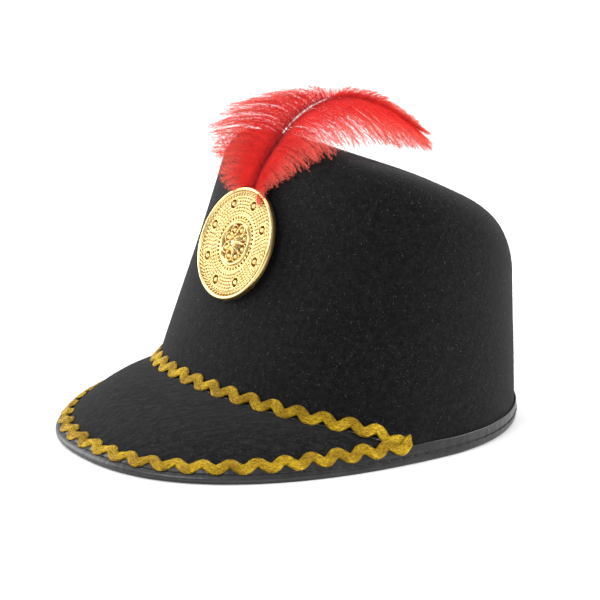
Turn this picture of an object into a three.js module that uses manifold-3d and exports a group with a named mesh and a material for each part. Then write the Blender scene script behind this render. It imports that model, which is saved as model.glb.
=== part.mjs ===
// A shako with a moulded felt crown and peak, a bound rim, two rickrack braids, a stamped gold
// medallion and a red ostrich plume. Millimetres, +Z up, the peak towards -Y, standing on Z = 0.
import * as THREE from "three";
import { mergeVertices } from "three/addons/utils/BufferGeometryUtils.js";
import Module from "manifold-3d";

// The rim: one closed oval on the ground, longer in front for the peak.
const RIM_HALF_WIDTH = 96;
const RIM_BACK = 92;
const RIM_FRONT = 141;
const WIDEST_Y = (RIM_FRONT - RIM_BACK) / 2; // the widest place of the rim, with the box centred on Y = 0

// Roundness of the ovals: 2 is an ellipse, more is squarer.
const BACK_ROUNDNESS = 2.1;
const CROWN_FRONT_ROUNDNESS = 2.13;
const PEAK_ROUNDNESS = 2.3;

// The crown: straight walls that lean in, under a sloping top.
const CROWN_FRONT = 86.2; // reach of the wall's middle layer at Z = 0, ahead of the widest place
const FRONT_LEAN = degrees(22.4);
const SIDE_LEAN = degrees(6.4);
const BACK_LEAN = degrees(2);
const TOP_HEIGHT = 129.5; // at the widest place
const TOP_SLOPE = 0.4; // fall per millimetre towards the back
const TOP_ARCH = 0.001; // steepens the fall from front to back
const REAR_ARCH = 0.002; // steepens it further, from REAR_START behind the widest place
const REAR_START = 30;
const TOP_DOME = 5;
const FRONT_EDGE_ROUNDING = 14; // length of the rounding on each side of the top's edge
const BACK_EDGE_ROUNDING = 22;

// The felt, and the fold where the peak leaves the crown.
const FELT = 2;
const FOLD_HEIGHT_FRONT = 24.8;
const FOLD_HEIGHT_BACK = 12; // behind the peak this is only a line on the wall
const FOLD_RISE = 0.75; // how soon the fold climbs from the side towards the front
const PEAK_BULGE = 6.2;

const GAP = 0.3; // between neighbouring pieces

// The binding: a tape folded round the felt's edge.
const TAPE = 0.6;
const SLOT_GAP = 0.5; // between the felt and the tape, whose flat steps differ a little
const FOLD_RADIUS = FELT / 2 + SLOT_GAP + TAPE;
const FELT_EDGE = 0.9; // from the centre of the tape's fold to the end of the felt
const TAPE_TOP = 6.8; // from the centre of the tape's fold to the tape's edge
const FIRST_ROW = 7.3; // the felt runs straight this far, so the tape lies flat on it
const FOOT = degrees(25); // half the angle of the fold that is pressed flat on the ground

// The braids.
const BRAID_WIDTH = 9; // over the waves
const BRAID_BAND = 5.3; // of the ribbon alone
const BRAID_THICKNESS = 1.2;
const BRAID_WAVE = 12.7;
const BRAID_SEAT = 1; // between the felt and the braid, whose flat steps bridge a curved wall
const CREASE_BRAID_END = degrees(21); // ahead of the widest place, short of the peak braid
const CREASE_BRAID_RISE = 0.7; // above the fold round the front
const CREASE_BRAID_DROP = 26; // how soon it falls below the fold at the sides
const PEAK_BRAID_END = degrees(9);
const PEAK_BRAID_FRONT = 5.4; // of its middle line from the tape's fold
const PEAK_BRAID_SIDE = 8.2;
const PEAK_BRAID_SEAT = 1.4; // it bridges the tape's edge
const BRAID_LIFT = 1.2; // of the peak braid's outer side, which lies on the tape

// The medallion and its post.
const MEDALLION_RADIUS = 28;
const MEDALLION_HEIGHT = 91;
const BOSSES = 8;
const BOSS_CIRCLE = 21;
const POST_RADIUS = 4;
const RECESS = 0.9; // of the medallion's back

// The plume.
const QUILL_RADIUS = 0.9;
const QUILL_TIP_RADIUS = 0.35;
const PLUME_ROOT_HEIGHT = 117; // where the quill comes out above the medallion
const PLUME_ROOT_X = -3;
const PLUME_TURN = degrees(20); // from straight back towards +X
const BARB_ROOT_GAP = 1.3; // from the quill's middle to the barbs' solid
const VANE_ROOT_THICKNESS = 3;
const VANE_TIP_THICKNESS = 0.9;

const COLUMNS = 80; // steps round the hat

const UP = new THREE.Vector3(0, 0, 1);
const FRONT = -Math.PI / 2;

function degrees(value) {
  return (value * Math.PI) / 180;
}

function signedPower(value, power) {
  return Math.sign(value) * Math.abs(value) ** power;
}

function mix(a, b, t) {
  return a + (b - a) * t;
}

// ---- The shape of the felt, as its middle layer ----

// A point on an oval whose front and back halves have their own reach and roundness.
function ovalPoint(angle, oval, height) {
  const isBack = Math.sin(angle) > 0;
  const power = 2 / (isBack ? oval.roundBack : oval.roundFront);
  const reach = isBack ? oval.back : oval.front;
  return new THREE.Vector3(
    oval.halfWidth * signedPower(Math.cos(angle), power),
    oval.middle + reach * signedPower(Math.sin(angle), power),
    height,
  );
}

const RIM_OVAL = {
  halfWidth: RIM_HALF_WIDTH,
  middle: WIDEST_Y,
  back: RIM_BACK,
  front: RIM_FRONT,
  roundBack: BACK_ROUNDNESS,
  roundFront: PEAK_ROUNDNESS,
};

// The way out from the rim, level and square to its outline.
function rimOutward(angle) {
  const p = ovalPoint(angle, RIM_OVAL, 0);
  const isBack = Math.sin(angle) > 0;
  const roundness = isBack ? BACK_ROUNDNESS : PEAK_ROUNDNESS;
  const reach = isBack ? RIM_BACK : RIM_FRONT;
  const x = signedPower(p.x / RIM_HALF_WIDTH, roundness - 1) / RIM_HALF_WIDTH;
  const y = signedPower((p.y - WIDEST_Y) / reach, roundness - 1) / reach;
  return new THREE.Vector3(x, y, 0).normalize();
}

// The centre of the tape's fold, which is also the line that the felt springs from.
function edgeCentre(angle) {
  const p = ovalPoint(angle, RIM_OVAL, FOLD_RADIUS * Math.cos(FOOT));
  return p.addScaledVector(rimOutward(angle), -FOLD_RADIUS);
}

function wallPoint(angle, height) {
  const back = RIM_BACK - FOLD_RADIUS - height * Math.tan(BACK_LEAN);
  const front = CROWN_FRONT - height * Math.tan(FRONT_LEAN);
  const reach = (back + front) / 2;
  const oval = {
    halfWidth: RIM_HALF_WIDTH - FOLD_RADIUS - height * Math.tan(SIDE_LEAN),
    middle: WIDEST_Y + (back - front) / 2,
    back: reach,
    front: reach,
    roundBack: BACK_ROUNDNESS,
    roundFront: CROWN_FRONT_ROUNDNESS,
  };
  return ovalPoint(angle, oval, height);
}

function topHeight(y) {
  const behind = y - WIDEST_Y;
  const rear = Math.max(behind - REAR_START, 0);
  return TOP_HEIGHT - TOP_SLOPE * behind - TOP_ARCH * behind ** 2 - REAR_ARCH * rear ** 2;
}

// The sharp corner that the wall and the top would make, found by closing in on its height.
function cornerPoint(angle) {
  let height = TOP_HEIGHT;
  for (let i = 0; i < 40; i++) {
    height = mix(height, topHeight(wallPoint(angle, height).y), 0.5);
  }
  return wallPoint(angle, height);
}

const FRONT_CORNER = cornerPoint(FRONT);
const BACK_CORNER = cornerPoint(-FRONT);
const TOP_MIDDLE = new THREE.Vector3(0, (FRONT_CORNER.y + BACK_CORNER.y) / 2, 0);

// A point of the top, a part of the way from its middle to a corner point.
function topPoint(corner, part) {
  const p = TOP_MIDDLE.clone().lerp(corner, part);
  p.z = topHeight(p.y) + TOP_DOME * (1 - part ** 2);
  return p;
}

function foldHeight(angle) {
  const forward = Math.max(-Math.sin(angle), 0);
  const rise = FOLD_HEIGHT_FRONT * forward ** FOLD_RISE;
  const blended = Math.cbrt(rise ** 3 + FOLD_HEIGHT_BACK ** 3);
  const highest = Math.cbrt(FOLD_HEIGHT_FRONT ** 3 + FOLD_HEIGHT_BACK ** 3);
  return blended - (highest - FOLD_HEIGHT_FRONT) * forward;
}

// The felt from the tape's fold to the fold under the crown: a straight line that bulges upwards.
function peakSheet(angle) {
  const start = edgeCentre(angle);
  const end = wallPoint(angle, foldHeight(angle));
  const bulge = 4 * PEAK_BULGE * Math.max(-Math.sin(angle), 0);
  const span = end.clone().sub(start);
  const speed = span.clone().addScaledVector(UP, bulge).length();
  const at = (k) => start.clone().addScaledVector(span, k).addScaledVector(UP, bulge * k * (1 - k));
  return { at, speed };
}

// The way along the rim.
function roundRim(angle) {
  const step = degrees(0.25);
  return edgeCentre(angle + step).sub(edgeCentre(angle - step)).normalize();
}

// The sine of the angle between a column of the felt and the rim: 1 where they are square.
function squareness(angle) {
  const column = peakSheet(angle).at(0.3).sub(edgeCentre(angle)).normalize();
  return Math.sqrt(1 - roundRim(angle).dot(column) ** 2);
}

// One column of the felt's middle layer, from its edge up and over to near the top's middle.
function feltColumn(angle) {
  const sheet = peakSheet(angle);
  const awayFromRim = sheet.speed * squareness(angle);
  const first = FIRST_ROW / awayFromRim;
  const column = [sheet.at(FELT_EDGE / awayFromRim)];
  for (const part of [0, 0.25, 0.5, 0.75, 1]) {
    column.push(sheet.at(mix(first, 1, part)));
  }
  const corner = cornerPoint(angle);
  const backward = (corner.y - FRONT_CORNER.y) / (BACK_CORNER.y - FRONT_CORNER.y);
  const rounding = mix(FRONT_EDGE_ROUNDING, BACK_EDGE_ROUNDING, backward);
  for (const part of [0.25, 0.5, 0.75, 1]) {
    column.push(wallPoint(angle, mix(foldHeight(angle), corner.z - rounding, part)));
  }
  const reach = Math.hypot(corner.x, corner.y - TOP_MIDDLE.y);
  const flat = 1 - rounding / reach;
  const bend = new THREE.QuadraticBezierCurve3(column.at(-1), corner, topPoint(corner, flat));
  for (const part of [0.2, 0.4, 0.6, 0.8, 1]) {
    column.push(bend.getPoint(part));
  }
  for (const part of [0.75, 0.5, 0.25]) {
    column.push(topPoint(corner, flat * part));
  }
  return column;
}

// ---- Solids from rings of points ----

function geometryFrom(points, triangles) {
  const geometry = new THREE.BufferGeometry();
  geometry.setFromPoints(points);
  geometry.setIndex(triangles);
  return geometry;
}

function addQuad(triangles, a, b, c, d) {
  triangles.push(a, b, c, a, c, d);
}

// Joins rings of equal length into a solid. A ring runs clockwise, seen along the way that the rings
// follow each other. The solid closes on itself or ends in two flat faces.
function loft(rings, closesOnItself) {
  const size = rings[0].length;
  const triangles = [];
  const joins = closesOnItself ? rings.length : rings.length - 1;
  for (let r = 0; r < joins; r++) {
    const here = r * size;
    const next = ((r + 1) % rings.length) * size;
    for (let i = 0; i < size; i++) {
      const j = (i + 1) % size;
      addQuad(triangles, here + i, here + j, next + j, next + i);
    }
  }
  if (!closesOnItself) {
    const last = (rings.length - 1) * size;
    for (let i = 1; i < size - 1; i++) {
      triangles.push(0, i + 1, i);
      triangles.push(last, last + i, last + i + 1);
    }
  }
  return geometryFrom(rings.flat(), triangles);
}

// The felt's normals: the way round the hat crossed with the way up the column.
function feltNormals(columns) {
  return columns.map((column, i) => {
    const left = columns[(i + columns.length - 1) % columns.length];
    const right = columns[(i + 1) % columns.length];
    return column.map((_, row) => {
      const round = right[row].clone().sub(left[row]);
      const above = column[Math.min(row + 1, column.length - 1)];
      const below = column[Math.max(row - 1, 0)];
      return round.cross(above.clone().sub(below)).normalize();
    });
  });
}

const ANGLES = Array.from({ length: COLUMNS }, (_, i) => (2 * Math.PI * i) / COLUMNS);
const FELT_COLUMNS = ANGLES.map(feltColumn);
const FELT_NORMALS = feltNormals(FELT_COLUMNS);

// The felt hat: crown and peak in one sheet, open below.
function feltBodyGeometry() {
  const rows = FELT_COLUMNS[0].length;
  const points = [];
  for (const side of [1, -1]) {
    FELT_COLUMNS.forEach((column, i) => {
      column.forEach((p, row) => {
        points.push(p.clone().addScaledVector(FELT_NORMALS[i][row], (side * FELT) / 2));
      });
    });
  }
  const inner = COLUMNS * rows;
  const poles = points.length;
  const middle = topPoint(TOP_MIDDLE, 0);
  points.push(middle.clone().addScaledVector(UP, FELT / 2));
  points.push(middle.clone().addScaledVector(UP, -FELT / 2));
  const triangles = [];
  for (let i = 0; i < COLUMNS; i++) {
    const a = i * rows;
    const b = ((i + 1) % COLUMNS) * rows;
    for (let row = 0; row < rows - 1; row++) {
      addQuad(triangles, a + row, b + row, b + row + 1, a + row + 1);
      addQuad(triangles, inner + a + row + 1, inner + b + row + 1, inner + b + row, inner + a + row);
    }
    addQuad(triangles, inner + a, inner + b, b, a);
    triangles.push(a + rows - 1, b + rows - 1, poles);
    triangles.push(inner + b + rows - 1, inner + a + rows - 1, poles + 1);
  }
  return geometryFrom(points, triangles);
}

// The tape: two legs along the felt and a round fold under its edge, pressed flat on the ground.
function bindingGeometry() {
  const rings = ANGLES.map((angle, i) => {
    const centre = edgeCentre(angle);
    const round = roundRim(angle);
    const out = round.clone().cross(FELT_COLUMNS[i][1].clone().sub(centre)).normalize();
    const up = out.clone().cross(round);
    const place = (outward, upward) =>
      centre.clone().addScaledVector(out, outward).addScaledVector(up, upward);
    const onFold = (turn, radius) => place(radius * Math.cos(turn), -radius * Math.sin(turn));
    const down = Math.atan2(up.z, -out.z);
    const slot = FOLD_RADIUS - TAPE;
    const feet = [onFold(down - FOOT, FOLD_RADIUS), onFold(down + FOOT, FOLD_RADIUS)];
    feet.forEach((foot) => foot.setZ(0));
    return [
      place(FOLD_RADIUS, TAPE_TOP),
      onFold(0, FOLD_RADIUS),
      onFold((down - FOOT) / 2, FOLD_RADIUS),
      ...feet,
      onFold(Math.PI, FOLD_RADIUS),
      place(-FOLD_RADIUS, TAPE_TOP),
      place(-slot, TAPE_TOP),
      onFold(Math.PI, slot),
      onFold(Math.PI / 2, slot),
      onFold(0, slot),
      place(slot, TAPE_TOP),
    ];
  });
  return loft(rings, true);
}

// ---- The braids ----

// A point of the felt's middle layer, at a distance up the column from the tape's fold.
function pointUpColumn(angle, distance) {
  const sheet = peakSheet(angle);
  const steps = 16;
  let here = sheet.at(0);
  let walked = 0;
  for (let i = 1; i <= steps; i++) {
    const next = sheet.at(i / steps);
    const step = next.distanceTo(here);
    if (walked + step >= distance) return here.lerp(next, (distance - walked) / step);
    walked += step;
    here = next;
  }
  const wallUp = wallPoint(angle, here.z + 1).sub(here).normalize();
  return here.addScaledVector(wallUp, distance - walked);
}

function sheetLength(angle) {
  const sheet = peakSheet(angle);
  const steps = 16;
  let length = 0;
  for (let i = 1; i <= steps; i++) {
    length += sheet.at(i / steps).distanceTo(sheet.at((i - 1) / steps));
  }
  return length;
}

// How far up the column each braid's middle line runs.
function creaseBraidDistance(angle) {
  const sideways = 1 + Math.sin(angle);
  return sheetLength(angle) + CREASE_BRAID_RISE - CREASE_BRAID_DROP * sideways ** 4.5;
}

function peakBraidDistance(angle) {
  const sideways = THREE.MathUtils.smoothstep(Math.sin(angle), -0.82, -0.2);
  return mix(PEAK_BRAID_FRONT, PEAK_BRAID_SIDE, sideways) / squareness(angle);
}

const CREASE_BRAID = {
  endAngle: CREASE_BRAID_END,
  distanceAt: creaseBraidDistance,
  seat: BRAID_SEAT,
  lift: 0,
};
const PEAK_BRAID = {
  endAngle: PEAK_BRAID_END,
  distanceAt: peakBraidDistance,
  seat: PEAK_BRAID_SEAT,
  lift: BRAID_LIFT,
};

// A braid's seat at one angle: it bridges two points of the felt, half its width up and down.
function braidSeat(angle, braid) {
  const middle = braid.distanceAt(angle);
  const lineAt = (where) => pointUpColumn(where, braid.distanceAt(where));
  const step = degrees(0.5);
  const along = lineAt(angle + step).sub(lineAt(angle - step)).normalize();
  const column = pointUpColumn(angle, middle + 1).sub(pointUpColumn(angle, middle - 1)).normalize();
  const half = BRAID_WIDTH / 2 / Math.sqrt(1 - along.dot(column) ** 2);
  const high = pointUpColumn(angle, middle + half);
  const low = pointUpColumn(angle, middle - half);
  const out = along.clone().cross(high.clone().sub(low)).normalize();
  high.addScaledVector(out, FELT / 2 + braid.seat);
  low.addScaledVector(out, FELT / 2 + braid.seat + braid.lift);
  const centre = high.clone().lerp(low, 0.5);
  const tilted = along.clone().cross(high.sub(low)).normalize();
  return { centre, along, across: tilted.clone().cross(along), out: tilted };
}

// The braid's seats, spaced evenly along its middle line from one side of the hat to the other.
function braidSeats(braid) {
  const steps = 240;
  const angles = Array.from({ length: steps + 1 }, (_, i) =>
    mix(-Math.PI + braid.endAngle, -braid.endAngle, i / steps),
  );
  const seats = angles.map((angle) => braidSeat(angle, braid));
  const walked = [0];
  for (let i = 1; i <= steps; i++) {
    walked.push(walked[i - 1] + seats[i].centre.distanceTo(seats[i - 1].centre));
  }
  const waves = Math.round(walked[steps] / BRAID_WAVE);
  const stations = waves * 8;
  const even = [];
  for (let n = 0; n <= stations; n++) {
    const wanted = (walked[steps] * n) / stations;
    const i = Math.max(1, walked.findIndex((w) => w >= wanted - 1e-9));
    const t = (wanted - walked[i - 1]) / (walked[i] - walked[i - 1]);
    even.push(braidSeat(mix(angles[i - 1], angles[i], t), braid));
  }
  return { even, waves };
}

// A flat ribbon that swings from side to side, with a crest at each end.
function braidGeometry(braid) {
  const { even, waves } = braidSeats(braid);
  const swing = (BRAID_WIDTH - BRAID_BAND) / 2;
  const rings = even.map((seat, n) => {
    const wave = swing * Math.cos((2 * Math.PI * waves * n) / (even.length - 1));
    const corner = (edge, height) =>
      seat.centre
        .clone()
        .addScaledVector(seat.across, wave + (edge * BRAID_BAND) / 2)
        .addScaledVector(seat.out, height);
    return [corner(1, 0), corner(1, BRAID_THICKNESS), corner(-1, BRAID_THICKNESS), corner(-1, 0)];
  });
  return loft(rings, false);
}

// ---- The medallion ----

// The medallion's own frame: its back on the XY plane, its face towards +Z.
const WALL_OUT = new THREE.Vector3(0, -Math.cos(FRONT_LEAN), Math.sin(FRONT_LEAN));
const QUILL_OFFSET = FELT / 2 + GAP + QUILL_RADIUS;
const MEDALLION_OFFSET = QUILL_OFFSET + QUILL_RADIUS + GAP;

// Turns a profile of [radius, height] pairs round the Z axis.
function turned(profile, segments) {
  const points = profile.map(([radius, height]) => new THREE.Vector2(radius, height));
  return new THREE.LatheGeometry(points, segments).rotateX(Math.PI / 2);
}

function medallionPlate() {
  const rimTop = 3.1;
  const field = 2.1;
  const profile = [
    [0, RECESS],
    [MEDALLION_RADIUS - 3, RECESS],
    [MEDALLION_RADIUS - 2.4, 0],
    [MEDALLION_RADIUS - 0.3, 0],
    [MEDALLION_RADIUS, 0.8],
    [MEDALLION_RADIUS - 0.2, rimTop - 0.5],
    [MEDALLION_RADIUS - 0.9, rimTop],
    [MEDALLION_RADIUS - 1.7, rimTop - 0.5],
    [MEDALLION_RADIUS - 2.4, field],
    [14, field],
    [13, field + 0.6],
    [12, field],
    [10.2, field],
    [9.2, field + 0.7],
    [8.2, field],
    [4.6, field + 0.6],
    [3.4, field + 1.7],
    [1.4, field + 2.2],
    [0, field + 2.2],
  ];
  return turned(profile, 48);
}

function bossGeometry() {
  const profile = [
    [0, 1.6],
    [2.3, 1.6],
    [2.1, 2.5],
    [1.4, 2.9],
    [0, 2.7],
  ];
  return turned(profile, 12);
}

const wasm = await Module();
wasm.setup();

// A geometry as a manifold-3d solid.
function solidFrom(geometry) {
  const bare = new THREE.BufferGeometry();
  bare.setAttribute("position", geometry.getAttribute("position"));
  bare.setIndex(geometry.index);
  const merged = mergeVertices(bare, 1e-4);
  const mesh = new wasm.Mesh({
    numProp: 3,
    vertProperties: merged.getAttribute("position").array,
    triVerts: new Uint32Array(merged.index.array),
  });
  return new wasm.Manifold(mesh);
}

function medallionGeometry() {
  let solid = solidFrom(medallionPlate());
  for (let i = 0; i < BOSSES; i++) {
    const angle = (2 * Math.PI * (i + 0.5)) / BOSSES;
    const boss = bossGeometry();
    boss.translate(BOSS_CIRCLE * Math.cos(angle), BOSS_CIRCLE * Math.sin(angle), 0);
    solid = solid.add(solidFrom(boss));
  }
  const mesh = solid.getMesh();
  const geometry = new THREE.BufferGeometry();
  geometry.setAttribute("position", new THREE.BufferAttribute(mesh.vertProperties, 3));
  geometry.setIndex(new THREE.BufferAttribute(mesh.triVerts, 1));
  return geometry;
}

// The hidden post fills the space between the felt and the medallion's back.
function postGeometry() {
  const height = MEDALLION_OFFSET + RECESS - FELT / 2 - 2 * GAP;
  const bottom = FELT / 2 + GAP - MEDALLION_OFFSET;
  const post = new THREE.CylinderGeometry(POST_RADIUS, POST_RADIUS, height, 24);
  return post.rotateX(Math.PI / 2).translate(0, 0, bottom + height / 2);
}

// ---- The plume ----

// A point where the quill lies on the wall, at a height.
function quillSeat(height) {
  return wallPoint(FRONT, height).addScaledVector(WALL_OUT, QUILL_OFFSET).setX(PLUME_ROOT_X);
}

const PLUME_ROOT = quillSeat(PLUME_ROOT_HEIGHT);

// A point of the plume's arc, given as a way back and a way up from its root.
function plumePoint(backward, upward) {
  const p = PLUME_ROOT.clone();
  p.x += backward * Math.sin(PLUME_TURN);
  p.y += backward * Math.cos(PLUME_TURN);
  p.z += upward;
  return p;
}

// The quill rises along the wall, leaves it at the top's edge and arches back over the crown.
const QUILL_FOOT = quillSeat(PLUME_ROOT_HEIGHT - 14);
const PLUME_ARC = new THREE.CatmullRomCurve3(
  [
    plumePoint(0, 0),
    plumePoint(4.3, 10.2),
    plumePoint(10.8, 20.6),
    plumePoint(21.5, 33.2),
    plumePoint(32.5, 40.3),
    plumePoint(46, 42.8),
    plumePoint(60, 38.5),
    plumePoint(79, 26),
  ],
  false,
  "centripetal",
);

function quillGeometry() {
  const steps = 24;
  const sides = 8;
  const stations = [{ centre: QUILL_FOOT, along: plumePoint(0, 0).sub(QUILL_FOOT).normalize() }];
  for (let i = 0; i <= steps; i++) {
    stations.push({ centre: PLUME_ARC.getPointAt(i / steps), along: PLUME_ARC.getTangentAt(i / steps) });
  }
  const level = new THREE.Vector3(Math.cos(PLUME_TURN), -Math.sin(PLUME_TURN), 0);
  const rings = stations.map(({ centre, along }, n) => {
    const radius = mix(QUILL_RADIUS, QUILL_TIP_RADIUS, Math.max(0, (n - 4) / (stations.length - 5)));
    const over = along.clone().cross(level).normalize();
    const side = over.clone().cross(along).normalize();
    return Array.from({ length: sides }, (_, i) => {
      const turn = (2 * Math.PI * i) / sides;
      return centre
        .clone()
        .addScaledVector(side, radius * Math.cos(turn))
        .addScaledVector(over, radius * Math.sin(turn));
    });
  });
  return loft(rings, false);
}

// Where the barbs' tips lie from their roots, at parts of the way along the arc.
const FRONT_BARBS = [
  [0.05, -18, -12, 0],
  [0.09, -20, -13.5, 5],
  [0.2, -29, -19.5, 4],
  [0.29, -31, -21, 2.5],
  [0.38, -29, -20, 4],
  [0.46, -17, -12.5, 6.4],
  [0.52, 0.7, 2, 7],
  [0.58, 4, 11, 4],
  [0.66, 5, 14, 0],
  [0.8, 5, 14, -5],
  [1, 3.9, 10.7, -6],
];
const REAR_BARBS = [
  [0.05, 12, -4, -2.5],
  [0.09, 16.7, -2, -3],
  [0.2, 28.8, 1, -3],
  [0.38, 38, 1, -7.5],
  [0.53, 38, 10.7, -17],
  [0.66, 33.4, 9, -21.4],
  [0.79, 24, 12, -21],
  [1, 8.4, 6, -9.6],
];

function barbReach(table, part) {
  const last = table.length - 1;
  const i = Math.min(Math.max(1, table.findIndex((row) => row[0] >= part)), last);
  const t = (part - table[i - 1][0]) / (table[i][0] - table[i - 1][0]);
  const at = (column) => mix(table[i - 1][column], table[i][column], t);
  return new THREE.Vector3(at(1), at(2), at(3));
}

// One side's barbs as a solid of their outer form, thick at the quill and thin at the tips.
function vaneGeometry(table, side) {
  const stations = 18;
  const spans = [0, 0.25, 0.5, 0.75, 1];
  const rings = [];
  for (let n = 0; n <= stations; n++) {
    const part = mix(table[0][0], 0.985, n / stations);
    const root = PLUME_ARC.getPointAt(part);
    const along = PLUME_ARC.getTangentAt(part);
    const reach = barbReach(table, part);
    const square = reach.clone().addScaledVector(along, -reach.dot(along)).normalize();
    const start = root.clone().addScaledVector(square, BARB_ROOT_GAP);
    const first = reach.clone().normalize().addScaledVector(along, 0.7).normalize();
    const bow = start.clone().addScaledVector(first, reach.length() * 0.45);
    const barb = new THREE.QuadraticBezierCurve3(start, bow, start.clone().add(reach));
    const away = along.clone().cross(reach).normalize().multiplyScalar(side);
    const line = spans.map((span) => barb.getPoint(span));
    const fullness = Math.min(1, 0.35 + part * 2.5) * mix(1, 0.35, part);
    const near = [];
    const far = [];
    line.forEach((p, i) => {
      const thickness = fullness * mix(VANE_ROOT_THICKNESS, VANE_TIP_THICKNESS, i / (spans.length - 1));
      const inward = Math.min(0.5 + part, thickness / 2);
      near.push(p.clone().addScaledVector(away, -inward));
      far.push(p.clone().addScaledVector(away, thickness - inward));
    });
    const ring = [...near, ...far.reverse()];
    rings.push(side > 0 ? ring : ring.reverse());
  }
  return loft(rings, false);
}

// ---- The hat ----

function mesh(name, geometry, colour, roughness, metalness) {
  const piece = new THREE.Mesh(
    geometry,
    new THREE.MeshStandardMaterial({ color: colour, roughness, metalness }),
  );
  piece.name = name;
  return piece;
}

function medallionGroup() {
  const group = new THREE.Group();
  group.position.copy(wallPoint(FRONT, MEDALLION_HEIGHT)).addScaledVector(WALL_OUT, MEDALLION_OFFSET);
  group.rotation.x = Math.PI / 2 - FRONT_LEAN;
  group.add(mesh("medallion", medallionGeometry(), 0xe2bf68, 0.35, 1));
  group.add(mesh("medallion_post", postGeometry(), 0x8a7a50, 0.5, 1));
  return group;
}

function plumeGroup() {
  const group = new THREE.Group();
  group.add(mesh("plume_quill", quillGeometry(), 0x5c1512, 0.5, 0));
  group.add(mesh("plume_front_barbs", vaneGeometry(FRONT_BARBS, 1), 0xd8222a, 0.8, 0));
  group.add(mesh("plume_rear_barbs", vaneGeometry(REAR_BARBS, -1), 0xd8222a, 0.8, 0));
  return group;
}

function braidGroup() {
  const gold = [0xd9ae1e, 0.4, 0.6];
  const group = new THREE.Group();
  group.add(mesh("crease_rickrack", braidGeometry(CREASE_BRAID), ...gold));
  group.add(mesh("peak_rickrack", braidGeometry(PEAK_BRAID), ...gold));
  return group;
}

const shako = new THREE.Group();
shako.add(mesh("felt_body", feltBodyGeometry(), 0x1a1a1c, 0.95, 0));
shako.add(mesh("rim_binding", bindingGeometry(), 0x4a4b4d, 0.4, 0));
shako.add(braidGroup(), medallionGroup(), plumeGroup());

export default shako;
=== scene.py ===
"""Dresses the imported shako: napped felt, stitched binding, rickrack, stamped medallion and plume.

Sizes are in millimetres until a mesh is made, in the frame of the CAD: +Z up, the peak towards -Y.
"""

from __future__ import annotations

import logging
import math
from dataclasses import dataclass, field
from enum import Enum

import bpy
import numpy as np
from mathutils import Matrix


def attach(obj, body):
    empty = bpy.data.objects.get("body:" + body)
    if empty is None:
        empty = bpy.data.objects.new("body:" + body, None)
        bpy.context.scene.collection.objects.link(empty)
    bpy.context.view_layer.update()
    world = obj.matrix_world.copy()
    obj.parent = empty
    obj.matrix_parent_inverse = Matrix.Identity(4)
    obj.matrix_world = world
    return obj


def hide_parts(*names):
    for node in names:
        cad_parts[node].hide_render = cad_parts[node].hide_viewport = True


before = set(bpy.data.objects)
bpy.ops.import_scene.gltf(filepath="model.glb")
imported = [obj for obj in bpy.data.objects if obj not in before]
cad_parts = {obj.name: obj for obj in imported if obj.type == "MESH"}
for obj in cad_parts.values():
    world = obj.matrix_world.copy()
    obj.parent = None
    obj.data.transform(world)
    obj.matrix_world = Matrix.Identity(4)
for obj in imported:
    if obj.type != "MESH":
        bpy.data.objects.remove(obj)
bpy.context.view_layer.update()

LOG = logging.getLogger("shako")
MM = 0.001
BODY = "root"
Array = np.ndarray
Value = float | tuple[float, ...] | bpy.types.NodeSocket
Sockets = dict[str | int, Value]
FRONT = -np.pi / 2


class Slot(Enum):
    """The record's material slots."""

    FELT = "black_felt"
    TAPE = "binding_tape"
    BRAID = "gold_braid"
    METAL = "gold_metal"
    QUILL = "red_quill"
    BARBS = "red_barbs"


# ---- Arithmetic on whole arrays ----


def unit(vectors: Array) -> Array:
    """Vectors divided by their lengths."""
    return vectors / np.maximum(np.linalg.norm(vectors, axis=-1, keepdims=True), 1e-12)


def signed_power(values: Array, power: Array) -> Array:
    """The power of each value's size, with the value's sign."""
    return np.sign(values) * np.abs(values) ** power


def mix(a: Array, b: Array, t: Array) -> Array:
    """The value a part t of the way from a to b."""
    return a + (b - a) * t


def smooth(values: Array, low: float, high: float) -> Array:
    """0 below low, 1 above high and a smooth step between them."""
    t = np.clip((values - low) / (high - low), 0, 1)
    return t * t * (3 - 2 * t)


def bump(distance: Array, half_width: float) -> Array:
    """A round-topped bump: 1 - (distance / half width) squared, squared again, and 0 outside."""
    return np.clip(1 - (distance / half_width) ** 2, 0, 1) ** 2


def dome(distance: Array, radius: float) -> Array:
    """A half-round section: the square root of 1 - (distance / radius) squared."""
    return np.sqrt(np.clip(1 - (distance / radius) ** 2, 0, 1))


def bezier(a: Array, b: Array, c: Array, t: Array) -> Array:
    """Points of quadratic curves with ends a and c and handle b, shaped (curves, len(t), 3)."""
    a, b, c = (p[:, None, :] for p in (a, b, c))
    t = t[None, :, None]
    return a * (1 - t) ** 2 + b * 2 * t * (1 - t) + c * t * t


def walk(points: Array) -> Array:
    """How far each point of a line is from its start; the points are the last axis but one."""
    steps = np.linalg.norm(np.diff(points, axis=-2), axis=-1)
    return np.concatenate([np.zeros((*steps.shape[:-1], 1)), np.cumsum(steps, -1)], -1)


def read(where: Array, knots: Array, values: Array) -> Array:
    """Vectors read between knots, each coordinate in a straight line from one to the next."""
    return np.stack([np.interp(where, knots, column) for column in values.T], -1)


def spread(values: Array, like: Array) -> Array:
    """Values repeated to the shape of another array, as one flat row."""
    return np.broadcast_to(values, like.shape).ravel()


# ---- Meshes from arrays ----


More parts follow.
